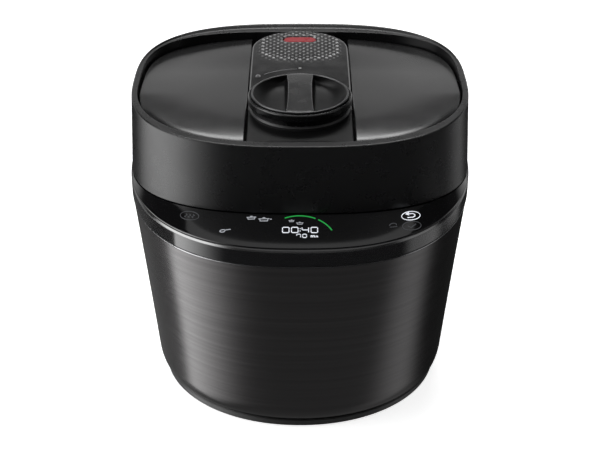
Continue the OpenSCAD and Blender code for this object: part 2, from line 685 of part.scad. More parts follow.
module hinge_arms() color("#1b1b1b") at_pot() difference() {
    for (x = [knuckle_from, -knuckle_to]) translate([x, 0, 0]) {
        along_x(hinge_y, hinge_z) cylinder(r = 7, h = knuckle_to - knuckle_from);
        rotate([90, 0, 90]) linear_extrude(height = knuckle_to - knuckle_from)
            polygon([[hinge_y - 4, hinge_z], [hinge_y + 7, hinge_z], [hinge_y + 6.5, hinge_z + 12],
                [150, 266], [147, 276], [137, 276], [137, 246], [151.5, 243]]);
    }
    translate([-100, 0, 0]) along_x(hinge_y, hinge_z) cylinder(r = hinge_pin_r + run_gap, h = 200);
    lid_space(0.05);
}

// ---------------------------------------------------------------- knob, valve, lock and float

module knob() color("#1e1e1f") at_pot() translate(knob_at) difference() {
    dish = [for (a = [0:10:90]) [41.6 * cos(a), 324.2 - 11.4 * sin(a)]];
    union() {
        rotate_extrude() polygon(concat([[0, 309], [34.5, 309], [34.5, 317], [knob_r - 0.6, 317], [knob_r, 317.6],
            [knob_r, 323.6], [knob_r - 0.9, 324.5], [44.45, 324.5], [44.45, 322], [42.55, 322], [42.55, 324.6]], dish));
        intersection() {
            span([-grip_w / 2, grip_w / 2], [-41.4, 41.4], [310, 326.6]);
            rotate_extrude() polygon([[0, 310], [34, 310], [34, 317.2], [42, 317.2], [42, 326.6], [0, 326.6]]);
        }
    }
    translate([0, 0, 308]) cylinder(r = shaft_r, h = 3);
}

module knob_ring() color("gray") at_pot() translate(knob_at) rotate_extrude()
    polygon([[42.6, 322.05], [44.4, 322.05], [44.4, 325.4], [43.9, 326], [43.1, 326], [42.6, 325.4]]);

module knob_shaft() color("ivory") at_pot() translate(knob_at) difference() {
    union() {
        translate([0, 0, gear_z + 0.5]) cylinder(r = shaft_r, h = 310.9 - gear_z - 0.5);
        rotate([0, 0, 180 / pinion_teeth]) gear(pinion_teeth, gear_z + 0.5);
    }
    translate([0, 0, gear_z - 1]) cylinder(r = rod_r + 0.08, h = rod_seat_z - gear_z + 1);
}

// The valve is drawn lifted off the vent pipe, as it stands while the lid is unlocked
module release_valve() color("silver") at_pot() translate([0, -knob_reach, valve_lift]) {
    translate([0, 0, 237]) cylinder(r1 = 1, r2 = 2.6, h = 1.7);
    translate([0, 0, 238.6]) cylinder(r1 = 5, r2 = 9, h = 2);
    translate([0, 0, 240.6]) cylinder(r = 9, h = 4.6);
    translate([0, 0, 245.1]) cylinder(r = rod_r, h = 54);
}

module valve_spring() color("gray") at_pot() translate(knob_at)
    translate([0, 0, 302.2]) coil(2, 0.4, rod_seat_z - 302.3, 5);

module lock_ring() color("lightgray") at_pot() {
    low = 216.6;
    top = gear_z;
    tube(lock_ring_r + 4, lock_ring_r, low, top - low);
    tube(lock_gear_r + 5, hub_r + run_gap, top - spider_t, spider_t);
    for (a = [45:90:315]) rotate([0, 0, a]) difference() {
        span([hub_r + 6, lock_ring_r + 2], [-9, 9], [top - spider_t, top]);
        span([hub_r + 32, lock_ring_r - 16], [-3.5, 3.5], [top - spider_t - 1, top + 1]);
    }
    for (i = [0:bayonet_n - 1]) rotate([0, 0, (i + 0.5) * 360 / bayonet_n - bayonet_arc / 2])
        rotate_extrude(angle = bayonet_arc)
            translate([flange_r + 3, low]) square([lock_ring_r - flange_r - 2.5, 3.4]);
}

module lock_gear() color("ivory") at_pot() difference() {
    gear(lock_teeth, gear_z + eps, 270, 36);
    translate([0, 0, gear_z - 1]) cylinder(r = hub_r + run_gap, h = gear_h + 2);
}

module float_indicator() color("crimson") at_pot() {
    arm_z = 303.5;
    translate([0, 0, arm_z]) translate(indicator_at) stadium(slot_half - 0.5, slot_r - 0.5, 0, 8.5);
    span([-4, 4], [float_at[1] - 4, indicator_at[1]], [arm_z, arm_z + 2.5]);
    translate([0, 0, 226]) translate(float_at) cylinder(r = 2.4, h = arm_z + 0.5 - 226);
}

module float_seal() color("lightsteelblue") at_pot() translate(float_at) tube(5.5, 2.4, 227, 3.3);

feet();
base_tray();
base_screws();
body_wrap();
trim_ring();
upper_collar();
control_panel();
display_module();
power_inlet();
inlet_pins();
power_board();
board_parts();
support_posts();
heat_shield();
basin_ring();
outer_pot();
inner_pot();
heating_plate();
leaf_plate();
sensor_bracket();
sensor_cap();
sensor_spring();
hinge_bracket();
hinge_pin();
hinge_springs();
hinge_cover();
cup_bracket();
drip_cup();
lid_shell();
lid_deck();
top_panel_left();
top_panel_right();
vent_bridge();
steam_duct();
knob_collar();
shaft_bush();
lid_hub();
hub_clip();
lid_liner();
liner_screws();
pressure_lid();
hub_screws();
sealing_ring();
inner_lid();
inner_lid_grommet();
vent_pipe();
filter_cap();
hinge_arms();
knob();
knob_ring();
knob_shaft();
release_valve();
valve_spring();
lock_ring();
lock_gear();
float_indicator();
float_seal();
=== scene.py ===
"""Electric pressure cooker: its looks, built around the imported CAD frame.

Lengths are millimetres in the pot's frame (the pot's axis is x = y = 0, the front faces -Y) until
add_piece() turns them into metres in the row frame. z is the height over the table.
"""
import json
import math
from collections import namedtuple

import bmesh
import bpy
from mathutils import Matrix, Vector
from mathutils.bvhtree import BVHTree
from mathutils.geometry import delaunay_2d_cdt


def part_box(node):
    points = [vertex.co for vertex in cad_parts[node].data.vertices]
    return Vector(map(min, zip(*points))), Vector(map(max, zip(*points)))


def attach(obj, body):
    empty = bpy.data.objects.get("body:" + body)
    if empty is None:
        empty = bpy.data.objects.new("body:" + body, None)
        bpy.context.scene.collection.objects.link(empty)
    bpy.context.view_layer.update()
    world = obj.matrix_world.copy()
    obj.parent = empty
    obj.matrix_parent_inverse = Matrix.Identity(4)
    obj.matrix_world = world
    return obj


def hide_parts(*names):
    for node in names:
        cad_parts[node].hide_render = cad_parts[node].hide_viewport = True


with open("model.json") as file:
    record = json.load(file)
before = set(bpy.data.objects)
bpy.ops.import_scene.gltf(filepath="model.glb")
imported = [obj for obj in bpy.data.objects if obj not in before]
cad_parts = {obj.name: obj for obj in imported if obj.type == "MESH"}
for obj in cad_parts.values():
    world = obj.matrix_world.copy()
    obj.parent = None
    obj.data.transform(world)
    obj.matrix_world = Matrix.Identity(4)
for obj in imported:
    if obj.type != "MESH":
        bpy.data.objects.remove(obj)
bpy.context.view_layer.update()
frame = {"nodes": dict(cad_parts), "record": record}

MM = 0.001
FULL_TURN = 2 * math.pi
POT_Y = sum(corner.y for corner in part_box("inner_pot")) / 2 / MM


def add_object(name, data):
    made = bpy.data.objects.new(name, data)
    bpy.context.scene.collection.objects.link(made)
    return made


def build_camera():
    """The photograph's view: level, straight from the front and 29 degrees up."""
    distance, elevation, aim_z = 1354.5 * MM, math.radians(29.26), 154.3 * MM
    data = bpy.data.cameras.new("camera")
    data.sensor_width, data.lens = 36.0, 81.12
    data.clip_start, data.clip_end = 0.05, 50
    camera = add_object("camera", data)
    camera.location = (0, POT_Y * MM - distance * math.cos(elevation), aim_z + distance * math.sin(elevation))
    camera.rotation_euler = (math.pi / 2 - elevation, 0, 0)
    bpy.context.scene.camera = camera


build_camera()


# -------- driving sizes
def box_mm(name):
    """A CAD node's lowest and highest corners, in millimetres in the pot's frame."""
    return [Vector((p.x / MM, p.y / MM - POT_Y, p.z / MM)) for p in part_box(name)]


COLLAR_LOW, COLLAR_HIGH = box_mm("upper_collar")
KNOB_LOW, KNOB_HIGH = box_mm("knob")
BRIDGE_LOW, BRIDGE_HIGH = box_mm("vent_bridge")
LID_LOW, LID_HIGH = box_mm("lid_shell")
WRAP_LOW, WRAP_HIGH = box_mm("body_wrap")
FLOAT_TOP = box_mm("float_indicator")[1].z

# A superellipse with a reach and an exponent of its own at the front and at the back of its centre line y.
Outline = namedtuple("Outline", "half front back front_power back_power y")


def drawn_in(o, d):
    return Outline(o.half - d, o.front - d, o.back - d, *o[3:])


BODY_Y = 3.2
COLLAR = Outline(COLLAR_HIGH.x, BODY_Y - COLLAR_LOW.y, COLLAR_HIGH.y - BODY_Y, 2.465, 2.78, BODY_Y)
WRAP_TOP = drawn_in(COLLAR, 0.5)
WRAP_BASE = drawn_in(COLLAR, 16.2)._replace(front=COLLAR.front - 63.7, front_power=2.05, back_power=2.05)
LID_EDGE = Outline(LID_HIGH.x, -LID_LOW.y, LID_HIGH.y, 2.66, 2.78, 0.0)
RIM = drawn_in(LID_EDGE, 3.3)
WELL = Outline(151.0, 131.0, 135.4, 2.5, 3.4, -10.0)

TRIM_Z, WRAP_Z = WRAP_HIGH.z, WRAP_LOW.z
FOOT_ROUND_Z, FOOT_ROUND = 30.0, 7.5    # where the wrap starts to round in, and how far it would go
COLLAR_Z, SHELF_SLOPE = 238.5, 0.28
LID_GAP = 1.0
RIM_Z, RIM_SINK = LID_HIGH.z, 2.6
DECK_Z = BRIDGE_LOW.z

KNOB_AT = (0.0, (KNOB_LOW.y + KNOB_HIGH.y) / 2)
KNOB_R, KNOB_TOP = KNOB_HIGH.x, KNOB_HIGH.z
KNOB_REACH, KNOB_RIM_Z = 42.3, 325.3    # the pockets' outer edge
BAR_HALF, CROWN_DROP = 9.9, 0.9

BRIDGE_HALF, BRIDGE_FRONT = BRIDGE_HIGH.x, BRIDGE_LOW.y
BRIDGE_END_Y = 80.0
BRIDGE_END = BRIDGE_HIGH.y - BRIDGE_END_Y
BRIDGE_MID_Z, BRIDGE_SLOPE = 310.55, 5 / 255
INDICATOR_AT = (0, 103.3)
DIMPLE_X, DIMPLE_Y, DIMPLE_R, DIMPLE_DEPTH = 7.4, 4.2, 2.2, 1.1


def lerp(a, b, k):
    return a + (b - a) * k


def mix(a, b, k):
    return tuple(lerp(p, q, k) for p, q in zip(a, b))


def smooth(k):
    """0 below 0, 1 above 1 and an S curve between."""
    k = min(1.0, max(0.0, k))
    return k * k * (3 - 2 * k)


def plan(o, t, inset=0.0):
    """A point of an outline at turn t, drawn in by inset."""
    c, s = math.cos(t), math.sin(t)
    reach, power = (o.front, 2 / o.front_power) if s < 0 else (o.back, 2 / o.back_power)
    return ((o.half - inset) * math.copysign(abs(c) ** power, c),
            o.y + (reach - inset) * math.copysign(abs(s) ** power, s))


def even_turns(o, per_quarter, fine=500):
    """Turns that split each quarter of an outline into equal lengths."""
    turns = []
    for quarter in range(4):
        dense = [math.radians(90 * (quarter + k / fine)) for k in range(fine + 1)]
        along = [0.0]
        for a, b in zip(dense, dense[1:]):
            along.append(along[-1] + math.dist(plan(o, a), plan(o, b)))
        j = 0
        for i in range(per_quarter):
            want = along[-1] * i / per_quarter
            while along[j + 1] < want:
                j += 1
            turns.append(lerp(dense[j], dense[j + 1], (want - along[j]) / (along[j + 1] - along[j])))
    return turns


TURNS = even_turns(COLLAR, 60)


def ring(o, z, inset=0.0):
    """A ring along an outline; z is a height, or gives the height at each turn."""
    return [(*plan(o, t, inset), z(t) if callable(z) else z) for t in TURNS]


def wrap_line(z):
    return Outline(*mix(WRAP_TOP, WRAP_BASE, (TRIM_Z - z) / (TRIM_Z - WRAP_Z)))


def wrap_inset(z):
    """How far the wrap rounds in near its lower edge."""
    if z >= FOOT_ROUND_Z:
        return 0.0
    q = 0.95 * (FOOT_ROUND_Z - z) / (FOOT_ROUND_Z - WRAP_Z)
    return FOOT_ROUND * (1 - math.sqrt(1 - q * q))


def shelf_z(p, t):
    return COLLAR_Z + SHELF_SLOPE * math.dist(plan(COLLAR, t), p)


def lid_edge_z(t):
    """The shelf's height under the lid's edge."""
    return shelf_z(plan(LID_EDGE, t), t)


def lid_low(t):
    return lid_edge_z(t) + LID_GAP


# -------- mesh helpers
def circle_loop(at, r, n, clockwise=False):
    turns = [FULL_TURN * i / n for i in range(n)]
    points = [(at[0] + r * math.cos(t), at[1] + r * math.sin(t)) for t in turns]
    return points[::-1] if clockwise else points


def arc_points(centre, radius, start, end, steps=24, squash=1.0):
    """Points from start to end, in degrees."""
    turns = [math.radians(lerp(start, end, k / steps)) for k in range(steps + 1)]
    return [(centre[0] + radius * math.cos(t), centre[1] + squash * radius * math.sin(t)) for t in turns]


def stadium_loop(at, half, r, steps=12, clockwise=False):
    points = []
    for sign, start in ((1, -90), (-1, 90)):
        points += arc_points((at[0] + sign * (half - r), at[1]), r, start, start + 180, steps)
    return points[::-1] if clockwise else points


def rounded(corners, closed=True, step=18):
    """A polyline of (a, b, radius) corners, with each corner rounded by an arc."""
    out, count = [], len(corners)
    for i, (a, b, r) in enumerate(corners):
        if not r or (not closed and i in (0, count - 1)):
            out.append((a, b))
            continue
        q = Vector((a, b))
        u = (Vector(corners[i - 1][:2]) - q).normalized()
        v = (Vector(corners[(i + 1) % count][:2]) - q).normalized()
        half = u.angle(v) / 2
        centre = q + (u + v).normalized() * (r / math.sin(half))
        start, end = q + u * (r / math.tan(half)) - centre, q + v * (r / math.tan(half)) - centre
        first = math.atan2(start.y, start.x)
        sweep = (math.atan2(end.y, end.x) - first + math.pi) % FULL_TURN - math.pi
        steps = max(2, math.ceil(abs(sweep) / math.radians(step)))
        out += [(centre.x + r * math.cos(first + sweep * k / steps),
                 centre.y + r * math.sin(first + sweep * k / steps)) for k in range(steps + 1)]
    return out


def add_piece(name, verts, faces, body, slot, replaces=(), sharp=32, merge=0.002):
    """A mesh object in metres in the row frame, riding on a body, in a slot's material."""
    mesh = bpy.data.meshes.new(name)
    mesh.from_pydata([(x * MM, (y + POT_Y) * MM, z * MM) for x, y, z in verts], [], faces)
    bm = bmesh.new()
    bm.from_mesh(mesh)
    bmesh.ops.remove_doubles(bm, verts=bm.verts, dist=merge * MM)
    bmesh.ops.dissolve_degenerate(bm, edges=bm.edges, dist=merge * MM / 4)
    bmesh.ops.recalc_face_normals(bm, faces=bm.faces)
    bm.to_mesh(mesh)
    bm.free()
    mesh.shade_smooth()
    mesh.set_sharp_from_angle(angle=math.radians(sharp))
    mesh.materials.append(MATERIALS[slot])
    piece = add_object(name, mesh)
    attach(piece, body)
    if replaces:
        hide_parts(*replaces)
    flat = piece.modifiers.new("flat_faces", "WEIGHTED_NORMAL")
    flat.keep_sharp = True
    return piece


def refinish(piece, material, chosen):
    """Gives the chosen faces of a piece another finish; chosen takes a face's centre in mm and its normal."""
    piece.data.materials.append(material)
    index = len(piece.data.materials) - 1
    for face in piece.data.polygons:
        x, y, z = face.center / MM
        if chosen(x, y - POT_Y, z, face.normal):
            face.material_index = index


def loft_mesh(rings, closed=True, caps=False):
    """Verts and faces through rings of equal length."""
    n, m = len(rings[0]), len(rings)
    verts = [v for r in rings for v in r]
    faces = []
    for i in range(m if closed else m - 1):
        k = (i + 1) % m
        faces += [(i * n + j, i * n + (j + 1) % n, k * n + (j + 1) % n, k * n + j) for j in range(n)]
    if caps:
        faces += [tuple(range(n)), tuple((m - 1) * n + j for j in reversed(range(n)))]
    return verts, faces


def merge_meshes(*parts):
    verts, faces = [], []
    for v, f in parts:
        start = len(verts)
        verts += v
        faces += [tuple(i + start for i in face) for face in f]
    return verts, faces


def lathe_mesh(profile, at=(0.0, 0.0), segments=144):
    """A closed (radius, z) profile turned about a vertical axis."""
    return loft_mesh([[(x, y, z) for x, y in circle_loop(at, r, segments)] for r, z in profile])


def offset(loop, d):
    """A closed loop moved by d to the right of its travel: outwards if it runs anticlockwise."""
    out, n = [], len(loop)
    for i in range(n):
        p, q, s = Vector(loop[i - 1]), Vector(loop[i]), Vector(loop[(i + 1) % n])
        a, b = (q - p).normalized(), (s - q).normalized()
        na, nb = Vector((a.y, -a.x)), Vector((b.y, -b.x))
        m = (na + nb).normalized()
        out.append(tuple(q + m * (d / max(0.35, m.dot(na)))))
    return out


def inside(p, loops):
    """True if p is inside the first loop and outside the others (even-odd rule)."""
    hit = False
    for loop in loops:
        x0, y0 = loop[-1]
        for x1, y1 in loop:
            if (y0 > p[1]) != (y1 > p[1]) and p[0] < (x1 - x0) * (p[1] - y0) / (y1 - y0) + x0:
                hit = not hit
            x0, y0 = x1, y1
    return hit


def fill_mesh(loops, height, drop, spacing, extra=()):
    """Triangles between loops, with extra points and a staggered grid inside, top and underside."""
    points = [p for loop in loops for p in loop]
    points += [p for p in extra if inside(p, loops)]
    edges, start = [], 0
    for loop in loops:
        n = len(loop)
        edges += [(start + i, start + (i + 1) % n) for i in range(n)]
        start += n
    cells = {}
    for p in points:
        cells.setdefault((round(p[0] / spacing), round(p[1] / spacing)), []).append(p)
    left, low = (min(p[k] for p in loops[0]) for k in (0, 1))
    right, high = (max(p[k] for p in loops[0]) for k in (0, 1))
    row, y = 0, low
    while y < high:
        x = left + (row % 2) * spacing / 2
        while x < right:
            i, j = round(x / spacing), round(y / spacing)
            near = [q for u in (-1, 0, 1) for v in (-1, 0, 1) for q in cells.get((i + u, j + v), ())]
            if all(math.dist((x, y), q) > 0.55 * spacing for q in near) and inside((x, y), loops):
                points.append((x, y))
            x += spacing
        y += spacing * 0.866
        row += 1
    flat, _, triangles, _, _, _ = delaunay_2d_cdt([Vector(p) for p in points], edges, [], 0, 1e-5)
    kept = [t for t in triangles
            if inside((sum(flat[i].x for i in t) / len(t), sum(flat[i].y for i in t) / len(t)), loops)]
    n = len(flat)
    top = [(p.x, p.y, height(p.x, p.y)) for p in flat]
    faces = [tuple(t) for t in kept] + [tuple(n + i for i in reversed(t)) for t in kept]
    return top + [(x, y, z - drop) for x, y, z in top], faces


def slab_mesh(loops, height, edge_r, drop, spacing, arc=4, extra=()):
    """A solid slab with a shaped top: an anticlockwise outline first, then clockwise holes."""
    parts = [fill_mesh([offset(loop, -edge_r) for loop in loops], height, drop, spacing, extra)]
    for loop in loops:
        rings = []
        for k in range(arc + 1):
            a = math.pi / 2 * k / arc
            moved = offset(loop, -edge_r * (1 - math.sin(a)))
            rings.append([(x, y, height(x, y) - edge_r * (1 - math.cos(a))) for x, y in moved])
        for low in (loop, offset(loop, -edge_r)):
            rings.append([(x, y, height(x, y) - drop) for x, y in low])
        parts.append(loft_mesh(rings, closed=False))
    return merge_meshes(*parts)


# -------- node and material helpers
def feed(owner, into, value):
    """Links a socket into an input of a material's or a world's node, or sets the input's value."""
    if isinstance(value, bpy.types.NodeSocket):
        owner.node_tree.links.new(value, into)
    else:
        into.default_value = value


def node(owner, kind, *first, **named):
    """A new node, with values or sockets for its first inputs, and by name for its settings or inputs."""
    made = owner.node_tree.nodes.new("ShaderNode" + kind)
    for key, value in named.items():
        if hasattr(made, key):
            setattr(made, key, value)
        else:
            feed(owner, made.inputs[key.replace("_", " ")], value)
    for into, value in zip(made.inputs, first):
        feed(owner, into, value)
    return made


def calc(owner, operation, *values):
    return node(owner, "Math", *values, operation=operation).outputs["Value"]


def remap(owner, value, low, high, start=0.3, end=0.7, **settings):
    return node(owner, "MapRange", Value=value, From_Min=start, From_Max=end, To_Min=low, To_Max=high,
                **settings).outputs["Result"]


def shader_of(m):
    return m.node_tree.nodes["Principled BSDF"]


def new_material(name, color, roughness, **inputs):
    m = bpy.data.materials.new(name)
    m.use_nodes = True
    values = {"Base_Color": (*color, 1), "Roughness": roughness, "Coat_Roughness": 0.1, **inputs}
    for key, value in values.items():
        shader_of(m).inputs[key.replace("_", " ")].default_value = value
    return m


def place(m, scale=(1, 1, 1)):
    """Object coordinates, in metres, stretched by scale."""
    at = node(m, "TexCoord").outputs["Object"]
    return node(m, "Mapping", Scale=scale, Vector=at).outputs["Vector"]


def noise(m, scale, detail=3.0, stretch=(1, 1, 1), rough=0.55):
    at = place(m, stretch)
    return node(m, "TexNoise", Scale=scale, Detail=detail, Roughness=rough, Vector=at).outputs["Fac"]


def vary(m, name, value, low, high):
    """Lets value move one of the shader's inputs between low and high."""
    feed(m, shader_of(m).inputs[name], remap(m, value, low, high))


def blend(m, share, color, under=None):
    """Lays a colour over another, or over the base colour that is there."""
    base = shader_of(m).inputs["Base Color"]
    below = (*under, 1) if under else base.links[0].from_socket
    mixed = node(m, "Mix", data_type="RGBA", A=below, B=(*color, 1), Factor=share)
    feed(m, base, mixed.outputs["Result"])


def bump(m, height, strength, distance):
    made = node(m, "Bump", Strength=strength, Distance=distance, Height=height)
    feed(m, shader_of(m).inputs["Normal"], made.outputs["Normal"])


def shade(color, k):
    return tuple(min(1.0, c * k) for c in color)


def moulded(name, color, roughness, grain=0.15, spread=0.05, coat=0.0, ior=1.5, worn=0.25):
    """Moulded plastic: fine grain, slow changes of gloss and tone, edges rubbed a little lighter."""
    m = new_material(name, color, roughness, Coat_Weight=coat, Coat_Roughness=0.08, IOR=ior)
    blend(m, noise(m, 22.0), shade(color, 1.14), shade(color, 0.88))
    edge = remap(m, node(m, "NewGeometry").outputs["Pointiness"], 0.0, 1.0, 0.52, 0.6)
    rubbed = calc(m, "MULTIPLY", edge, remap(m, noise(m, 180.0), 0.0, worn))
    blend(m, rubbed, [min(1.0, c * 2.2 + 0.03) for c in color])
    vary(m, "Roughness", noise(m, 60.0, 4.0), max(0.02, roughness - spread), roughness + spread)
    bump(m, noise(m, 1500.0, 2.0), grain, 0.00003)
    return m


def brushed(name, color, roughness, stretch, spread=0.07, lines=0.1, anisotropic=0.0, tone=0.12):
    """Metal with fine parallel scratches: stretch is small along the brushing, large across it."""
    m = new_material(name, color, roughness, Metallic=1.0, Anisotropic=anisotropic)
    fine = noise(m, 1.0, 4.0, stretch, 0.6)
    broad = noise(m, 0.16, 3.0, stretch, 0.5)
    vary(m, "Roughness", fine, roughness - spread, roughness + spread)
    streaks = remap(m, calc(m, "ADD", fine, broad), 0, 1, 0.7, 1.3)
    blend(m, streaks, shade(color, 1 + tone), shade(color, 1 - tone))
    bump(m, fine, lines, 0.00004)
    return m


def cast(name, color, roughness, scale=500.0, strength=0.2, metallic=1.0):
    """Turned, cast or rolled metal with a mottled, slightly pitted face."""
    m = new_material(name, color, roughness, Metallic=metallic)
    blend(m, noise(m, 35.0, 4.0), shade(color, 1.1), shade(color, 0.86))
    vary(m, "Roughness", noise(m, 120.0, 4.0), roughness - 0.08, roughness + 0.1)
    bump(m, noise(m, scale, 3.0), strength, 0.00008)
    return m


def circuit_board(name, color):
    """Solder mask over copper tracks and pads."""
    m = new_material(name, color, 0.35, Coat_Weight=0.3)
    tracks = node(m, "TexBrick", Scale=1.0, Mortar_Size=0.0005, Brick_Width=0.009, Row_Height=0.0035,
                  Vector=place(m)).outputs["Fac"]
    blend(m, tracks, (0.12, 0.4, 0.2), color)
    vary(m, "Roughness", noise(m, 90.0), 0.28, 0.45)
    bump(m, tracks, 0.3, 0.00005)
    return m


def glowing(name, color, strength):
    """A lit mark behind the glass, with slightly uneven light."""
    m = new_material(name, shade(color, 0.4 * min(1.0, 1.2 * strength)), 0.3, Emission_Color=(*color, 1))
    vary(m, "Emission Strength", noise(m, 300.0), strength * 0.9, strength * 1.1)
    return m


def clear_smoke(name, color):
    """Thin smoked plastic that light passes through."""
    m = moulded(name, color, 0.16, grain=0.06, coat=0.2)
    shader_of(m).inputs["Transmission Weight"].default_value = 0.55
    return m


AROUND = (7.0, 7.0, 1500.0)   # brushed round a standing body
SLOT_COLOR = {m["slot"]: tuple(m["base_color"]) for m in frame["record"]["materials"]}
MATERIALS = {}


def finish(make, slot, color, *rest, **options):
    """Makes a slot's material, in the record's colour if color is None."""
    MATERIALS[slot] = make(slot, color or SLOT_COLOR[slot], *rest, **options)


finish(moulded, "foot_rubber", None, 0.75, grain=0.5)
finish(moulded, "base_plastic", (0.014, 0.014, 0.014), 0.4, grain=0.35)
finish(brushed, "dark_steel_wrap", (0.121, 0.117, 0.118), 0.2, AROUND, 0.06, 0.1, 0.3, 0.18)
finish(brushed, "bright_trim", (0.42, 0.42, 0.43), 0.2, AROUND, 0.04, 0.03)
finish(moulded, "collar_gloss", (0.006, 0.006, 0.0065), 0.13, grain=0.02, spread=0.03, coat=1.0)
finish(moulded, "panel_gloss", (0.004, 0.004, 0.0045), 0.1, grain=0.01, spread=0.02, coat=0.6, worn=0.05)
finish(circuit_board, "circuit_board", None)
finish(moulded, "board_parts", None, 0.4)
finish(moulded, "black_plastic", (0.018, 0.018, 0.019), 0.42, grain=0.4)
finish(brushed, "contact_metal", None, 0.3, (20, 900, 900))
finish(brushed, "steel", None, 0.28, (40, 900, 900))
finish(brushed, "spring_steel", None, 0.3, (700, 700, 60))
finish(cast, "aluminium", None, 0.38)
finish(cast, "pot_inside", (0.09, 0.09, 0.093), 0.42, 900.0, 0.25, metallic=0.35)
finish(cast, "pot_outer", None, 0.36)
finish(moulded, "lid_band", (0.0065, 0.0065, 0.007), 0.28, grain=0.012, spread=0.02)
finish(moulded, "top_panel", (0.016, 0.016, 0.0165), 0.23, grain=0.02, spread=0.02, coat=0.15)
finish(moulded, "bridge_plastic", (0.005, 0.005, 0.0055), 0.2, grain=0.04, coat=0.3)
finish(moulded, "knob_plastic", (0.005, 0.005, 0.0055), 0.26, grain=0.08, coat=0.2)
finish(brushed, "knob_trim", (0.11, 0.11, 0.112), 0.32, AROUND, 0.05, 0.03)
finish(moulded, "gear_plastic", None, 0.4, grain=0.2)
finish(moulded, "silicone", None, 0.5, grain=0.25)
finish(clear_smoke, "cup_plastic", (0.16, 0.17, 0.18))
finish(moulded, "red_plastic", (0.4, 0.004, 0.014), 0.3, grain=0.05, coat=0.1)
finish(cast, "lock_metal", None, 0.42, 350.0, 0.3)

# for the rims of the collar and the bridge, and for the knob's pockets and the bridge's front
# a lighter, glossier copy of the black plastic: painted highlight on the collar's chamfer and the bridge's
# rims
POLISHED_HIGHLIT = moulded("polished_edge", (0.01, 0.01, 0.0105), 0.14, grain=0.02, spread=0.03, ior=2.4)
# a darker, duller copy of the black plastic: its darker colour is painted shade in the knob's pockets and on
# the bridge's front, under the knob
DULL_SHADED = moulded("dull_black", (0.0035, 0.0035, 0.0037), 0.42, grain=0.06, ior=1.28)
WHITE_MARK = glowing("white_mark", (0.9, 0.93, 1.0), 0.9)
DIM_MARK = glowing("dim_mark", (0.75, 0.78, 0.85), 0.055)
GREEN_MARK = glowing("green_mark", (0.04, 0.8, 0.14), 0.36)
MENU_MARK = glowing("menu_mark", (0.8, 0.83, 0.9), 0.4)
PRINT_MARK = moulded("print_mark", (0.22, 0.22, 0.225), 0.4)
# the open dot is print, given a faint glow: painted light
GLOWING_DOT_MARK = glowing("dot_print", (0.85, 0.85, 0.85), 0.25)


def paint_light_by_depth(m, start, end, color):
    """Painted light: fades a material's tone to a lighter one from front to back, in the pot's frame."""
    y = node(m, "SeparateXYZ", place(m)).outputs["Y"]
    blend(m, remap(m, y, 0, 1, (start + POT_Y) * MM, (end + POT_Y) * MM), color)


def paint_dimple_highlights(m, color):
    """Painted highlights in the bottom of the vent dimples: the same staggered lattice, fading forwards."""
    def vector(operation, *values):
        return node(m, "VectorMath", *values, operation=operation).outputs

    at = place(m, (1 / MM, 1 / MM, 1 / MM))
    flatten = (1.15, 0.8)
    distances = []
    for dx, dy in ((0, 0), (DIMPLE_X / 2, DIMPLE_Y)):
        moved = vector("ADD", at, (DIMPLE_X * 20.5 - dx, DIMPLE_Y * 41 - POT_Y - dy, 0))["Vector"]
        wrapped = vector("MODULO", moved, (DIMPLE_X, 2 * DIMPLE_Y, 1))["Vector"]
        centre = (-DIMPLE_X / 2 * flatten[0], -DIMPLE_Y * flatten[1], 0)
        centred = vector("MULTIPLY_ADD", wrapped, (*flatten, 0), centre)["Vector"]
        distances.append(vector("LENGTH", centred)["Value"])
    axes = node(m, "SeparateXYZ", at).outputs
    mask = remap(m, calc(m, "MINIMUM", *distances), 1, 0, 1.0, 1.9)
    for fade in (remap(m, axes["Y"], 0, 1, POT_Y + 44, POT_Y + 74),
                 remap(m, calc(m, "ABSOLUTE", axes["X"]), 1, 0, 33, 42)):
        mask = calc(m, "MULTIPLY", mask, fade)
    blend(m, mask, color)


# painted light: the bridge lighter towards its back and darker at its front, under the knob
paint_light_by_depth(MATERIALS["bridge_plastic"], 10, 100, (0.045, 0.045, 0.046))
# painted highlights in the vent dimples, where they catch the light
paint_dimple_highlights(MATERIALS["bridge_plastic"], (0.3, 0.3, 0.3))

for part in frame["record"]["subparts"]:
    cad_materials = frame["nodes"][part["node"]].data.materials
    cad_materials.clear()
    cad_materials.append(MATERIALS[part["material_slot"]])


# -------- body
def cut_window(piece, node_name, gap):
    """Cuts the outline of a CAD node at the back through a piece, with a gap round it, in mm."""
    low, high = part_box(node_name)
    gap *= MM
    xs, ys, zs = (low.x - gap, high.x + gap), (low.y + 0.004, high.y + 0.03), (low.z - gap, high.z + gap)
    corners = [(x, y, z) for x in xs for y in ys for z in zs]
    quads = [(0, 1, 3, 2), (4, 6, 7, 5), (0, 4, 5, 1), (2, 3, 7, 6), (0, 2, 6, 4), (1, 5, 7, 3)]
    mesh = bpy.data.meshes.new("cutter")
    mesh.from_pydata(corners, [], quads)
    knife = add_object("cutter", mesh)
    cut = piece.modifiers.new("window", "BOOLEAN")
    cut.operation, cut.solver, cut.object = "DIFFERENCE", "EXACT", knife
    piece.modifiers.move(len(piece.modifiers) - 1, 0)
    with bpy.context.temp_override(object=piece, active_object=piece, selected_objects=[piece]):
        bpy.ops.object.modifier_apply(modifier=cut.name)
    bpy.data.objects.remove(knife)


def build_wrap():
    """The steel skin, rounded in at its foot, with the window for the mains inlet."""
    thick, straight, curved = 0.8, 24, 10
    heights = [TRIM_Z - k * (TRIM_Z - FOOT_ROUND_Z) / straight for k in range(straight + 1)]
    heights += [FOOT_ROUND_Z - k * (FOOT_ROUND_Z - WRAP_Z) / curved for k in range(1, curved + 1)]
    rings = [ring(wrap_line(z), z, wrap_inset(z)) for z in heights]
    rings += [ring(wrap_line(z), z, wrap_inset(z) + thick) for z in reversed(heights)]
    piece = add_piece("steel_wrap", *loft_mesh(rings), "cooker", "dark_steel_wrap", ["body_wrap"])
    cut_window(piece, "power_inlet", 0.4)


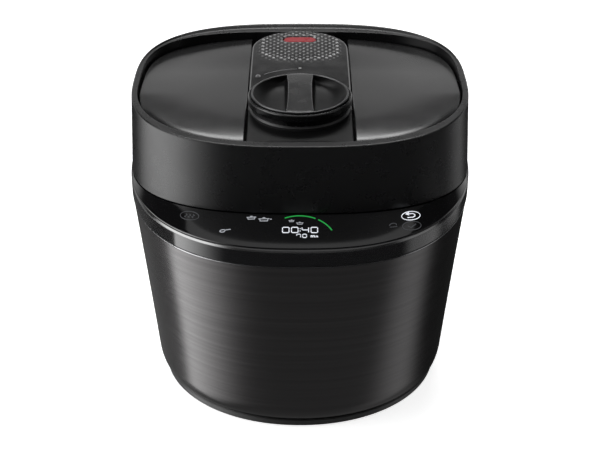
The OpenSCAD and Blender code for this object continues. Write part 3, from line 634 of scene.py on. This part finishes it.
def build_trim():
    profile = rounded([(0.6, TRIM_Z + 0.1, 0.1), (0.1, TRIM_Z + 0.5, 0.2), (0.1, TRIM_Z + 1.4, 0.15),
                       (4.0, TRIM_Z + 1.4, 0), (4.0, TRIM_Z + 0.1, 0)])
    rings = [ring(COLLAR, z, inset) for inset, z in profile]
    add_piece("trim_line", *loft_mesh(rings), "cooker", "bright_trim", ["trim_ring"])


def build_collar():
    """Gloss band, bright chamfer and sloping shelf, down into the bore round the pot."""
    low, groove, chamfer, bore, thick = TRIM_Z + 1.45, 0.9, 1.3, 137.0, 2.5
    lip_r, lip_drop = 1.5, 0.3
    basin_z = box_mm("basin_ring")[0].z

    def shelf_ring(k):
        """On the shelf, from the chamfer (0) to the lid's edge (1)."""
        points = ((mix(plan(COLLAR, t, chamfer + 0.6), plan(LID_EDGE, t), k), t) for t in TURNS)
        return [(*p, shelf_z(p, t)) for p, t in points]

    def bore_ring(r, z):
        return [(r * math.cos(t), r * math.sin(t), z(t) if callable(z) else z) for t in TURNS]

    def lip_z(t):
        return lid_edge_z(t) - lip_drop

    side = rounded([(2.5, low, 0), (1.3, low, 0), (1.3, low + groove, 0), (0, low + groove, 0.25),
                    (0, COLLAR_Z - chamfer, 0.5), (chamfer, COLLAR_Z + 0.35, 0.5),
                    (chamfer + 6, COLLAR_Z + 0.35 + 6 * SHELF_SLOPE, 0)], closed=False)[:-1]
    rings = [ring(COLLAR, z, inset) for inset, z in side]
    rings += [shelf_ring(k) for k in (0.12, 0.3, 0.55, 0.8, 0.97)]
    rings += [ring(LID_EDGE, lip_z, 0.4), bore_ring(bore + lip_r, lip_z),
              bore_ring(bore, lambda t: lip_z(t) - lip_r), bore_ring(bore, basin_z),
              bore_ring(bore + thick, basin_z), bore_ring(bore + thick, lambda t: lip_z(t) - lip_r - thick),
              ring(LID_EDGE, lambda t: lid_edge_z(t) - thick, -1), ring(COLLAR, COLLAR_Z - 3, 3.2)]
    piece = add_piece("collar", *loft_mesh(rings), "cooker", "collar_gloss", ["upper_collar"])
    # the chamfer gets the lighter, glossier copy: painted highlight
    refinish(piece, POLISHED_HIGHLIT, lambda x, y, z, n: abs(z - COLLAR_Z) < chamfer + 0.2 and 0.15 < n.z < 0.88)


def glass_point(t, side, lift):
    """A point over the shelf, from the glass's outer edge (side 0) to its inner one (1)."""
    outer_margin, inner_margin = 2.9, 1.4
    outer, inner = plan(COLLAR, t), plan(LID_EDGE, t)
    width = math.dist(outer, inner)
    p = mix(outer, inner, lerp(outer_margin / width, 1 - inner_margin / width, side))
    return (*p, shelf_z(p, t) + lift)


def build_panel():
    """The touch panel: one sheet of dark glass with rounded edges, lying on the shelf."""
    start, end = math.radians(198), math.radians(342)
    high, low, edge = 1.2, 0.05, 0.5
    turns = [start, start + 0.004, *(t for t in TURNS if start < t < end), end - 0.004, end]
    section = [(0.0, low), (0.0, high - edge), (0.004, high - 0.12), (0.012, high)]
    section += [(k / 8, high) for k in range(1, 8)] + [(1 - s, z) for s, z in reversed(section)]
    rows = []
    for t in turns:
        top = high - edge if t in (start, end) else high
        rows.append([glass_point(t, s, min(z, top)) for s, z in section])
    verts, faces = loft_mesh(rows, closed=False)
    faces += [tuple(range(len(section))), tuple(len(verts) - 1 - j for j in range(len(section)))]
    return add_piece("glass_panel", verts, faces, "cooker", "panel_gloss", ["control_panel"])


def build_base():
    """The black skirt under the wrap, which hides the feet; the CAD tray stays as its floor."""
    base, inset = wrap_line(WRAP_Z), wrap_inset(WRAP_Z)
    low, tray_low = 0.7, box_mm("base_tray")[0].z
    profile = rounded([(inset + 6, low + 0.6, 0), (inset + 2.6, low, 0.8), (inset + 0.2, low + 1.8, 1.2),
                       (inset - 0.9, WRAP_Z - 1.4, 0.6), (inset + 0.6, WRAP_Z - 0.2, 0.3),
                       (inset + 4, WRAP_Z - 0.2, 0), (inset + 6, tray_low + 2.5, 0)])
    rings = [ring(base, z, i) for i, z in profile]
    add_piece("base_skirt", *loft_mesh(rings), "cooker", "base_plastic")


# -------- marks on the panel
def stroke_mesh(points, width, height, thick=0.1, closed=False):
    """A line of a given width, laid on a surface whose height is height(x, y)."""
    n = len(points)
    rings = []
    for i, p in enumerate(points):
        p = Vector(p)
        before = Vector(points[i - 1]) if i or closed else p
        after = Vector(points[(i + 1) % n]) if i < n - 1 or closed else p
        a = (p - before).normalized() if (p - before).length > 1e-9 else (after - p).normalized()
        b = (after - p).normalized() if (after - p).length > 1e-9 else a
        side = Vector((-(a + b).y, (a + b).x)).normalized()
        side *= width / 2 / max(0.5, side.dot(Vector((-a.y, a.x))))
        corners = []
        for q, lifts in ((p + side, (-thick, thick)), (p - side, (thick, -thick))):
            corners += [(q.x, q.y, height(q.x, q.y) + lift) for lift in lifts]
        rings.append(corners)
    return loft_mesh(rings, closed=closed, caps=not closed)


SEGMENTS = {"0": "abcdef", "4": "bcfg", "7": "abcf"}


def digit_strokes(char, at, size, gap=0.35):
    """The strokes of a seven-segment digit whose lower left corner is at."""
    w, h = size
    m = h / 2
    ends = {"a": ((0, h), (w, h)), "b": ((w, h), (w, m)), "c": ((w, m), (w, 0)), "d": ((0, 0), (w, 0)),
            "e": ((0, m), (0, 0)), "f": ((0, h), (0, m)), "g": ((0, m), (w, m))}
    strokes = []
    for p, q in (map(Vector, ends[s]) for s in SEGMENTS[char]):
        d = (q - p).normalized() * gap
        strokes.append([tuple(Vector(at) + p + d), tuple(Vector(at) + q - d)])
    return strokes


def marks_piece(name, strokes, width, height, material, closed=False, slot="panel_gloss", body="cooker"):
    parts = [stroke_mesh(s, width, height, closed=closed) for s in strokes]
    piece = add_piece(name, *merge_meshes(*parts), body, slot, merge=0.0001)
    piece.data.materials[0] = material


def height_over(piece, lift):
    """The height of a piece's top surface at (x, y), for laying marks on it."""
    bm = bmesh.new()
    bm.from_mesh(piece.data)
    tree = BVHTree.FromBMesh(bm)
    bm.free()

    def height(x, y):
        hit = tree.ray_cast(Vector((x * MM, (y + POT_Y) * MM, 1.0)), Vector((0, 0, -1)))
        return hit[0].z / MM + lift if hit[0] else COLLAR_Z
    return height


def build_display(glass):
    """Clock, pressure, menu and key marks on the glass, squashed in y as the real ones are."""
    squash = 0.6

    def level(strokes, x0):
        """Leans marks near the ends of the panel, so that they look level where the shelf slopes sideways."""
        return [[(x, y + math.copysign(0.35, x0) * (x - x0)) for x, y in stroke] for stroke in strokes]

    def key(at):
        return level([arc_points(at, 8.3, 0, 360 - 360 / 56, 55, squash)], at[0])

    def pot_icon(x, y, k):
        bowl = [(x - 3 * k, y + 0.7 * k), (x - 2.6 * k, y - 1.4 * k), (x + 2.6 * k, y - 1.4 * k),
                (x + 3 * k, y + 0.7 * k)]
        handles = [(x - 4 * k, y + 0.7 * k), (x + 4 * k, y + 0.7 * k)]
        return [bowl, handles, [(x - k, y + 1.7 * k), (x + k, y + 1.7 * k)]]

    digit, step, left, low = (5.6, 6.2), 7.7, -15.0, -176.3
    clock = []
    for i, char in enumerate("0040"):
        clock += digit_strokes(char, (left + i * step + (1.4 if i > 1 else 0), low), digit)
    colon_x = left + 2 * step - 0.3
    clock += [[(colon_x, low + y), (colon_x, low + y + 0.9)] for y in (1.4, 4.2)]

    small = []
    for i, char in enumerate("70"):
        small += digit_strokes(char, (-2.8 + i * 5.1, -182.0), (3.3, 3.9))
    unit = [[(x, 0), (x, high)] for x, high in ((0, 2.1), (1.5, 1.5), (2.9, 2.1), (4.2, 1.5), (5.6, 1.5))]
    unit += [[(0, 2.1), (1.5, 1.5), (2.9, 2.1)], [(4.2, 1.5), (5.6, 1.5)]]
    small += [[(9.4 + x, -181.7 + y) for x, y in stroke] for stroke in unit]

    arc_at, arc_r = (-0.4, -188.0), 31.4    # over the clock, with one break
    back_at, accept_at, steam_at = (96.8, -148.3), (96.9, -159.9), (-96.4, -148.3)
    arrow = [[(93.0, -145.9), (98.6, -145.9), (100.4, -147.2), (100.4, -148.9), (98.6, -150.2),
              (93.6, -150.2)], [(95.2, -144.3), (92.6, -145.9), (95.2, -147.5)]]
    tick = [[(93.2, -160.0), (96.2, -161.9), (100.8, -158.1)]]
    steam = [[(x, -150.6), (x - 1.1, -149.5), (x + 1.1, -147.9), (x, -146.4)] for x in (-99.6, -96.4, -93.2)]
    menu = pot_icon(-42.1, -158.2, 1.05) + pot_icon(-31.2, -160.6, 1.2) + [[(-26.0, -160.4), (-24.4, -160.4)]]
    spoon = [arc_points((-66.5, -171.4), 2.3, 0, 330, 11, squash), [(-64.0, -170.6), (-59.6, -170.3)]]
    vent = [arc_points((80.4, -162.4), 3.0, -30, 200, 12, squash), [(77.6, -164.6), (84.0, -165.0)]]
    on_glass = height_over(glass, 0.06)
    for name, strokes, width, material, *closed in (
            ("clock_digits", clock, 0.78, WHITE_MARK),
            ("pressure_digits", small, 0.65, WHITE_MARK),
            ("progress_arc", [arc_points(arc_at, arc_r, 114, 64, 26), arc_points(arc_at, arc_r, 59, 28, 20)],
             1.1, GREEN_MARK),
            ("key_back_ring", key(back_at), 0.6, WHITE_MARK, True),
            ("key_accept_ring", key(accept_at), 0.6, DIM_MARK, True),
            ("key_steam_ring", key(steam_at), 0.6, DIM_MARK, True),
            ("key_back_arrow", level(arrow, back_at[0]), 0.75, WHITE_MARK),
            ("key_accept_tick", level(tick, accept_at[0]), 0.8, DIM_MARK),
            ("key_steam_plumes", level(steam, steam_at[0]), 0.65, DIM_MARK),
            ("menu_icons", menu, 0.75, MENU_MARK),
            ("spoon_icon", spoon, 0.8, MENU_MARK),
            ("state_icons", pot_icon(-7.3, -162.6, 0.62) + pot_icon(-0.2, -165.4, 0.78), 0.5, MENU_MARK),
            ("vent_icon", level(vent, 80.4), 0.7, DIM_MARK)):
        marks_piece(name, strokes, width, on_glass, material, *closed)


# -------- lid
def build_lid_shell():
    def side_ring(inset, z_of):
        """On the lid's side, which draws in from the lid's edge to the rim."""
        points = []
        for t in TURNS:
            z, low = z_of(t), lid_low(t)
            edge = Outline(*mix(LID_EDGE, RIM, (z - low) / (RIM_Z - low)))
            points.append((*plan(edge, t, inset), z))
        return points

    def sink(t):
        return RIM_SINK * max(0.0, math.sin(t))

    def top_ring(k):
        """Across the rim's top, from its outer edge (0) to the well's edge (1), sinking at the back."""
        return [(*mix(plan(RIM, t, 1.0), plan(WELL, t, -0.45), k), RIM_Z - sink(t) * smooth(k / 0.5))
                for t in TURNS]

    def well_ring(inset, z, sunk=True):
        return ring(WELL, (lambda t: z - sink(t)) if sunk else z, inset)

    rings = [side_ring(inset, lambda t, up=up: lid_low(t) + up)
             for inset, up in ((2.6, 0), (0.5, 0), (0.15, 0.15), (0, 0.5))]
    rings += [side_ring(0, lambda t, k=k: lerp(lid_low(t), RIM_Z, k)) for k in (0.12, 0.3, 0.5, 0.7, 0.88)]
    rings += [side_ring(inset, lambda t, down=down: RIM_Z - down)
              for inset, down in ((0, 1.2), (0.1, 0.7), (0.35, 0.35))]
    rings += [top_ring(k) for k in (0.0, 0.08, 0.16, 0.25, 0.34, 0.42, 0.5, 0.7, 1.0)]
    rings += [well_ring(-0.12, RIM_Z - 0.12), well_ring(0, RIM_Z - 0.5), well_ring(0, RIM_Z - 5),
              well_ring(0, lerp(RIM_Z, DECK_Z, 0.6), False), well_ring(0, DECK_Z, False),
              well_ring(-1.4, DECK_Z, False), well_ring(-1.4, RIM_Z - 4),
              side_ring(3.0, lambda t: RIM_Z - 4.5), side_ring(2.6, lambda t: lid_low(t) + 8)]
    add_piece("lid_band", *loft_mesh(rings), "lid", "lid_band", ["lid_shell"], sharp=40)


def well_y(x, reach, power):
    """The well's edge at x, at its back or its front."""
    return WELL.y + reach * max(0.0, 1 - abs(x / WELL.half) ** power) ** (1 / power)


def edge_distance(x, y):
    """Roughly how far (x, y) lies inside the well's front edge."""
    dy = min(0.0, y - WELL.y) / WELL.front
    power = WELL.front_power
    return (1 - (abs(x / WELL.half) ** power + abs(dy) ** power) ** (1 / power)) * WELL.front


def panel_height(x, y):
    """The top panels: falling slowly to the back, rising towards the bridge, rolling over at the front."""
    high, roll_at, roll_width, roll_depth = 312.9, 12, 36, 3.2
    fall = 13.0 * max(0.0, (y + 141) / 266) ** 1.7
    crest = 4.2 * (1 - min(1.0, abs(x) / 112)) * smooth((y + 40) / 160)
    d = edge_distance(x, y) - roll_at
    if d > 0:
        roll = roll_depth * max(0.0, 1 - d / roll_width) ** 2
    else:
        roll = roll_depth + 0.18 * -d + 0.03 * d ** 2
    front = smooth(((WELL.y - y) / WELL.front - 0.12) / 0.55)
    back = 2.6 * smooth((y - 30) / 95) * (1 - 0.5 * min(1.0, abs(x) / 130))
    return high - fall + crest + back - roll * front


def panel_loop(side):
    """The outline of a top panel, anticlockwise."""
    gap, cut, steps = 1.7, BRIDGE_HALF + 0.6, 60
    well = [p for p in (plan(WELL, t, gap) for t in even_turns(WELL, 48)) if p[0] > cut + 0.5]
    lower = sorted(p for p in well if p[1] < WELL.y)
    upper = sorted((p for p in well if p[1] >= WELL.y), reverse=True)
    low = well_y(cut, -WELL.front, WELL.front_power) + gap
    high = well_y(cut, WELL.back, WELL.back_power) - gap
    points = [(cut, low), *lower, *upper, (cut, high)]
    points += [(cut, lerp(high, low, k / steps)) for k in range(1, steps)]
    return points if side > 0 else [(-x, y) for x, y in reversed(points)]


def build_top_panels():
    for side, name in ((-1, "left"), (1, "right")):
        mesh = slab_mesh([panel_loop(side)], panel_height, 1.0, 3.4, 4.0)
        add_piece(f"top_panel_{name}_cover", *mesh, "lid", "top_panel", [f"top_panel_{name}"])


def bridge_loop():
    """The bridge's outline, anticlockwise, with its rounded back end."""
    half, across, along, round_end = BRIDGE_HALF, 30, 70, 60
    points = [(lerp(-half, half, k / across), BRIDGE_FRONT) for k in range(across)]
    points += [(half, lerp(BRIDGE_FRONT, BRIDGE_END_Y, k / along)) for k in range(along)]
    turns = [math.pi * k / round_end for k in range(round_end + 1)]
    points += [(half * math.cos(t), BRIDGE_END_Y + BRIDGE_END * math.sin(t)) for t in turns]
    points += [(-half, lerp(BRIDGE_END_Y, BRIDGE_FRONT, k / along)) for k in range(1, along)]
    return points


def bridge_reach(x, y):
    """0 on the bridge's centre line, 1 at its sides and its round end."""
    return math.hypot(x / BRIDGE_HALF, max(0.0, y - BRIDGE_END_Y) / BRIDGE_END)


def dimple_strength(x, y):
    """How deep the vent pattern is: full at the back, fading forwards and to the sides, none at the slot."""
    if max(abs(x) / 21.5, abs(y - INDICATOR_AT[1]) / 11.5) < 1:
        return 0.0
    if y > BRIDGE_END_Y and bridge_reach(x, y) > 0.93:
        return 0.0
    forward = smooth((y - 38 - 16 * (abs(x) / 40) ** 2) / 26)
    return forward * (1 - smooth((abs(x) - 33) / 9))


LATTICE = [(column * DIMPLE_X + (row % 2) * DIMPLE_X / 2, row * DIMPLE_Y)
           for row in range(9, 30) for column in range(-7, 8)]
DIMPLES = {at: dimple_strength(*at) for at in LATTICE if dimple_strength(*at) > 0.04}


def bridge_height(x, y):
    row = round(y / DIMPLE_Y)
    shift = (row % 2) * DIMPLE_X / 2
    column = round((x - shift) / DIMPLE_X)
    at = (column * DIMPLE_X + shift, row * DIMPLE_Y)
    r = math.dist((x, y), at) / DIMPLE_R
    dimple = DIMPLE_DEPTH * max(0.0, 1 - r * r) * DIMPLES.get(at, 0.0)
    lip = 3.2 * smooth((-y - 127.5) / 7) * (1 - smooth((abs(x) - 25) / 5))
    return BRIDGE_MID_Z + BRIDGE_SLOPE * y - dimple + lip


def build_bridge():
    knob_hole = circle_loop(KNOB_AT, 43.6, 96, True)
    slot_hole = stadium_loop(INDICATOR_AT, 17, 7, 14, True)
    extra = []
    for at in DIMPLES:
        extra.append(at)
        for share, n in ((0.45, 6), (0.76, 10), (1, 14)):
            extra += circle_loop(at, DIMPLE_R * share, n)
    extra += [(k * 1.25 - 32.5, y) for k in range(53) for y in (-127.5, -129.3, -131.0, -132.8, -134.4)]
    mesh = slab_mesh([bridge_loop(), knob_hole, slot_hole], bridge_height, 2.6, 12.0, 4.0, arc=6, extra=extra)
    piece = add_piece("vent_cover", *mesh, "lid", "bridge_plastic", ["vent_bridge"], sharp=30)
    # the rims of the bridge get the lighter, glossier copy: painted highlight
    refinish(piece, POLISHED_HIGHLIT,
             lambda x, y, z, n: bridge_reach(x, y) > 0.945 and 0.15 < n.z < 0.96 and y > KNOB_AT[1])
    # painted shade: the bridge's front, under the knob, gets the darker copy
    refinish(piece, DULL_SHADED, lambda x, y, z, n: y < KNOB_AT[1])
    return piece


def build_bridge_marks(cover):
    """The knob's scale: a dot where the lid opens, an arc and a small closed lock."""
    on_bridge = height_over(cover, 0.05)
    arc = [arc_points((0, -24.5), 52, 93, 131, 24)]
    dot = [arc_points((0, 29.5), 0.7, 0, 330, 11)]
    lock = [arc_points((-40, 12.5), 1.4, 0, 180, 8),
            [(-41.9, 12.2), (-41.9, 9.0), (-38.1, 9.0), (-38.1, 12.2), (-41.9, 12.2)]]
    for name, strokes, width, material, closed in (
            ("knob_scale_arc", arc, 0.6, PRINT_MARK, False),
            ("open_dot", dot, 1.5, GLOWING_DOT_MARK, True),
            ("shut_mark", lock, 0.7, PRINT_MARK, False)):
        marks_piece(name, strokes, width, on_bridge, material, closed, "bridge_plastic", "lid")


def build_knob_collar():
    """The socket round the knob's skirt, with a chamfered seat standing on the bridge."""
    low, top, floor, seat = DECK_Z, box_mm("knob_collar")[1].z - 0.3, 306.0, 312.2
    profile = rounded([(43.0, low, 0), (43.0, top, 0.8), (35.5, top, 0.8), (35.5, floor, 0),
                       (40.5, floor, 0), (40.5, low, 0)])
    ledge = rounded([(45.9, seat - 7, 0), (45.9, seat - 1.6, 0.3), (44.3, seat, 0.3), (42.9, seat, 0.2),
                     (42.9, seat - 7, 0)])
    add_piece("knob_socket", *merge_meshes(lathe_mesh(profile, KNOB_AT), lathe_mesh(ledge, KNOB_AT)), "lid",
              "black_plastic", ["knob_collar"])


# -------- knob and float
def bar_half(y):
    """Half the grip bar's width, flaring a little towards its ends."""
    return BAR_HALF + 1.7 * (abs(y) / 42) ** 3


def crown_z(y):
    return KNOB_TOP - CROWN_DROP * (y / 42) ** 2


def pocket_section(y):
    """From the bar's upper edge, down its side, across the floor and up the bowl to the rim: (x, z) pairs."""
    full_depth, bowl_steps = 11.2, 14
    x_in, x_out = bar_half(y), math.sqrt(max(0.0, KNOB_REACH * KNOB_REACH - y * y))
    width = max(0.0, x_out - x_in)
    depth = full_depth * min(1.0, width / (KNOB_REACH - BAR_HALF)) ** 0.42
    edge, draft, soft = min(1.1, width / 6), 0.1 * depth, min(2.6, width / 5)
    crown = crown_z(y)
    floor_z = crown - depth
    foot = x_in + edge + draft
    points = [(x_in + edge * math.sin(a), crown - edge * (1 - math.cos(a))) for a in (0, 0.4, 0.8, 1.2, 1.5)]
    points += [mix(points[-1], (foot, floor_z + soft), k) for k in (0.3, 0.6, 1.0)]
    points += [(foot + soft * (1 - math.cos(a)), floor_z + soft * (1 - math.sin(a)))
               for a in (0.4, 0.8, 1.2, 1.57)]
    start = points[-1]
    for i in range(1, bowl_steps + 1):
        k = i / bowl_steps
        points.append((lerp(start[0], x_out, k), lerp(start[1], KNOB_RIM_Z, k ** 3.6)))
    return [(min(x, x_out), z) for x, z in points]


def build_knob():
    """Flanged knob: two scooped D-shaped pockets leave a grip bar across it."""
    low, skirt, groove, lip = 309, 317, 321.6, 324.4
    outer = rounded([(0, low, 0), (34.5, low, 0.5), (34.5, skirt, 0.4), (KNOB_R, skirt, 1.2),
                     (KNOB_R, lip - 1.4, 1.4), (45.4, lip, 0.5), (45.2, groove, 0), (44.45, groove, 0),
                     (44.45, lip, 0), (42.2, lip, 0), (41.0, 312.6, 0), (0, 312.6, 0)], closed=False)
    body = lathe_mesh(outer, KNOB_AT, 180)

    floor, steps, cap_reach = 311.5, 56, 1.7
    cusp = KNOB_REACH - 1.6    # where the bar's side meets the pockets' outer edge
    while bar_half(cusp) < math.sqrt(KNOB_REACH * KNOB_REACH - cusp * cusp):
        cusp += 0.02
    cusp -= 0.02
    rows = []
    for i in range(steps + 1):
        y = cusp * math.sin(math.pi / 2 * lerp(-1, 1, i / steps))
        side = pocket_section(y)
        bar = [(bar_half(y) * k / 4, crown_z(y) + 0.25 * (1 - (k / 4) ** 2)) for k in range(-3, 4)]
        top = [(-x, z) for x, z in reversed(side)] + bar + side
        rows.append([(x, KNOB_AT[1] + y, min(z, KNOB_TOP)) for x, z in top]
                    + [(x, KNOB_AT[1] + y, floor) for x, z in reversed(top)])
    ends = []
    for sign, row in ((-1, rows[0]), (1, rows[-1])):
        ends.append([(x, KNOB_AT[1] + sign * math.sqrt(max(0.0, (KNOB_REACH + cap_reach) ** 2 - x * x)),
                      z - 0.35 if z > 320 else z) for x, _, z in row])
    insert = loft_mesh([ends[0], *rows, ends[1]], closed=False, caps=True)
    piece = add_piece("lock_knob", *merge_meshes(body, insert), "knob", "knob_plastic", ["knob"], sharp=38)

    def in_pocket(x, y, z, n):
        return (abs(x) > bar_half(y - KNOB_AT[1]) + 1.2 and math.dist((x, y), KNOB_AT) < KNOB_REACH
                and z > floor + 0.1)
    # painted shade: the pockets get the darker copy
    refinish(piece, DULL_SHADED, in_pocket)

    band = rounded([(42.1, 322.05, 0), (44.3, 322.05, 0), (44.3, 325.7, 0.7), (42.1, 325.7, 0.6)])
    add_piece("knob_trim_ring", *lathe_mesh(band, KNOB_AT, 180), "knob", "knob_trim", ["knob_ring"])


def build_indicator():
    """The float's stem, an arm to the back and the red cap in the vent cover's slot."""
    half, arm_x, stem_y = 16.5, 4, 88.0
    cap = slab_mesh([stadium_loop(INDICATOR_AT, half, 6.5, 16)],
                    lambda x, y: FLOAT_TOP - 0.9 * (abs(x) / half) ** 4, 1.2, 7.4, 1.6)
    arm_z = FLOAT_TOP - 8.5 + 0.6
    arm = rounded([(-arm_x, 84, 1.5), (arm_x, 84, 1.5), (arm_x, INDICATOR_AT[1], 0.5),
                   (-arm_x, INDICATOR_AT[1], 0.5)])
    arm_mesh = slab_mesh([arm], lambda x, y: arm_z + 2.4, 0.3, 2.4, 2.5, arc=2)
    stem = rounded([(0, 226, 0), (2.4, 226, 0.6), (2.4, arm_z + 1, 0), (0, arm_z + 1, 0)])
    add_piece("float_cap", *merge_meshes(cap, arm_mesh, lathe_mesh(stem, (0, stem_y), 32)), "float",
              "red_plastic", ["float_indicator"])


def soften_edges():
    """Rounds the hard corners of the plain parts at the back and underneath."""
    for name, width in (("hinge_cover", 1.2), ("hinge_arms", 1.0), ("cup_bracket", 0.8), ("drip_cup", 0.9),
                        ("power_inlet", 0.6), ("feet", 0.6), ("inner_lid", 0.4), ("lid_liner", 0.5)):
        bevel = frame["nodes"][name].modifiers.new("soft_edges", "BEVEL")
        bevel.width, bevel.segments = width * MM, 3
        bevel.limit_method, bevel.angle_limit = "ANGLE", math.radians(40)
        bevel.harden_normals = True


build_wrap()
build_trim()
build_collar()
glass = build_panel()
build_base()
build_display(glass)
build_lid_shell()
build_top_panels()
cover = build_bridge()
build_bridge_marks(cover)
build_knob_collar()
build_knob()
build_indicator()
soften_edges()

# -------- studio
# Light cards, in degrees of azimuth from the front and of elevation. Each rises from 0 at a span's first
# number to full at its second, and falls from full at its third to 0 at its fourth.
CARDS = (
    ((-142, -86, -80, -28), (-28, -25, -8, 12), 3.9),  # left, for the lid
    ((-94, -91, -86, -40), (-37, -35, -28, -26), 2.7),  # left, for the collar
    ((-121, -117, -84, -18), (-68, -42, -37, -35), 2.4),  # left, for the skin
    ((-113, -110, -66, -40), (16, 26, 46, 56), 4.2),  # high on the left
    ((-176, -166, -132, -118), (-60, -40, -34, -24), 0.13),  # behind on the left
    ((66, 80, 100, 118), (-37, -35, -28, -26), 0.5),  # right, for the collar
    ((70, 98, 106, 126), (-76, -42, -37, -35), 0.5),  # right, for the skin
    ((98, 126, 132, 148), (-30, -27, -10, 12), 0.4),  # right, for the lid's far end
    ((60, 80, 100, 106), (16, 26, 40, 52), 0.6),  # high on the right
    ((-200, -190, 190, 200), (-95, -92, -54, -42), 0.1),  # dim floor
    ((-140, -90, 90, 140), (40, 60, 80, 89), 0.42),  # overhead, towards the front
)
# Cards centred straight behind: the cosines of the angle from there at which each starts and is full.
CARDS_BEHIND = (
    ((0.3, 0.97), (-10, 2, 11, 24), 0.78),  # low
    ((0.6, 0.97), (8, 20, 30, 36), 0.1),  # above it
    ((0.88, 0.95), (37, 46, 51, 57), 7.5),  # overhead
)
ROOM_LIGHT = 0.018


def build_world():
    """A dim room with the soft light cards."""
    world = bpy.data.worlds.new("studio")
    bpy.context.scene.world = world
    world.use_nodes = True

    def ramp(value, start, end, low=0.0, high=1.0):
        return remap(world, value, low, high, start, end, interpolation_type="SMOOTHSTEP")

    def times(a, b):
        return calc(world, "MULTIPLY", a, b)

    def window(value, span):
        return times(ramp(value, *span[:2]), ramp(value, *span[2:], 1.0, 0.0))

    x, y, z = node(world, "SeparateXYZ", node(world, "TexCoord").outputs["Generated"]).outputs
    degrees = 57.2958
    azimuth = times(calc(world, "ARCTAN2", x, times(y, -1.0)), degrees)
    elevation = times(calc(world, "ARCSINE", z), degrees)
    level = calc(world, "SQRT", calc(world, "ADD", times(x, x), times(y, y)))
    behind = calc(world, "DIVIDE", y, level)
    cards = [(window(azimuth, az), el, strength) for az, el, strength in CARDS]
    cards += [(ramp(behind, *span), el, strength) for span, el, strength in CARDS_BEHIND]
    total = ROOM_LIGHT
    for across, el, strength in cards:
        total = calc(world, "ADD", times(times(across, window(elevation, el)), strength), total)
    background = world.node_tree.nodes["Background"]
    feed(world, background.inputs["Strength"], total)
    background.inputs["Color"].default_value = (1, 1, 1, 1)


def stage_piece(name, mesh, shade_of_grey, emission):
    """Part of the stage, kept out of the gloss of the dark shell."""
    material = new_material(name, (shade_of_grey,) * 3, 0.9, Specular_IOR_Level=0.0,
                            Emission_Color=(1, 1, 1, 1), Emission_Strength=emission)
    mesh.materials.append(material)
    piece = add_object(name, mesh)
    piece.visible_glossy = False
    return piece


def build_stage():
    """A pale floor and a pale dome behind it."""
    radius = 6.0
    floor = bpy.data.meshes.new("floor")
    rim = [(x, y, 0.0) for x, y in circle_loop((0.0, 0.0), radius, 96)]
    floor.from_pydata(rim, [], [tuple(range(len(rim)))])
    stage_piece("floor", floor, 0.93, 0.8)
    bm = bmesh.new()
    bmesh.ops.create_uvsphere(bm, u_segments=64, v_segments=32, radius=radius - 0.1)
    dome = bpy.data.meshes.new("dome")
    bm.to_mesh(dome)
    bm.free()
    sky = stage_piece("backdrop", dome, 0.0, 1.0)
    for ray in ("diffuse", "transmission", "shadow", "volume_scatter"):
        setattr(sky, "visible_" + ray, False)


def build_softbox():
    data = bpy.data.lights.new("top_softbox", "AREA")
    data.shape = "RECTANGLE"
    data.size, data.size_y = 1.4, 1.0
    data.energy = 2
    light = add_object("top_softbox", data)
    at, aim = Vector((0, 0.2, 1.6)), Vector((0, 0, 0.2))
    light.location = at
    light.rotation_euler = (aim - at).to_track_quat("-Z", "Y").to_euler()
    light.visible_camera = False


build_world()
build_stage()
build_softbox()
bpy.context.scene.view_settings.view_transform = "Standard"
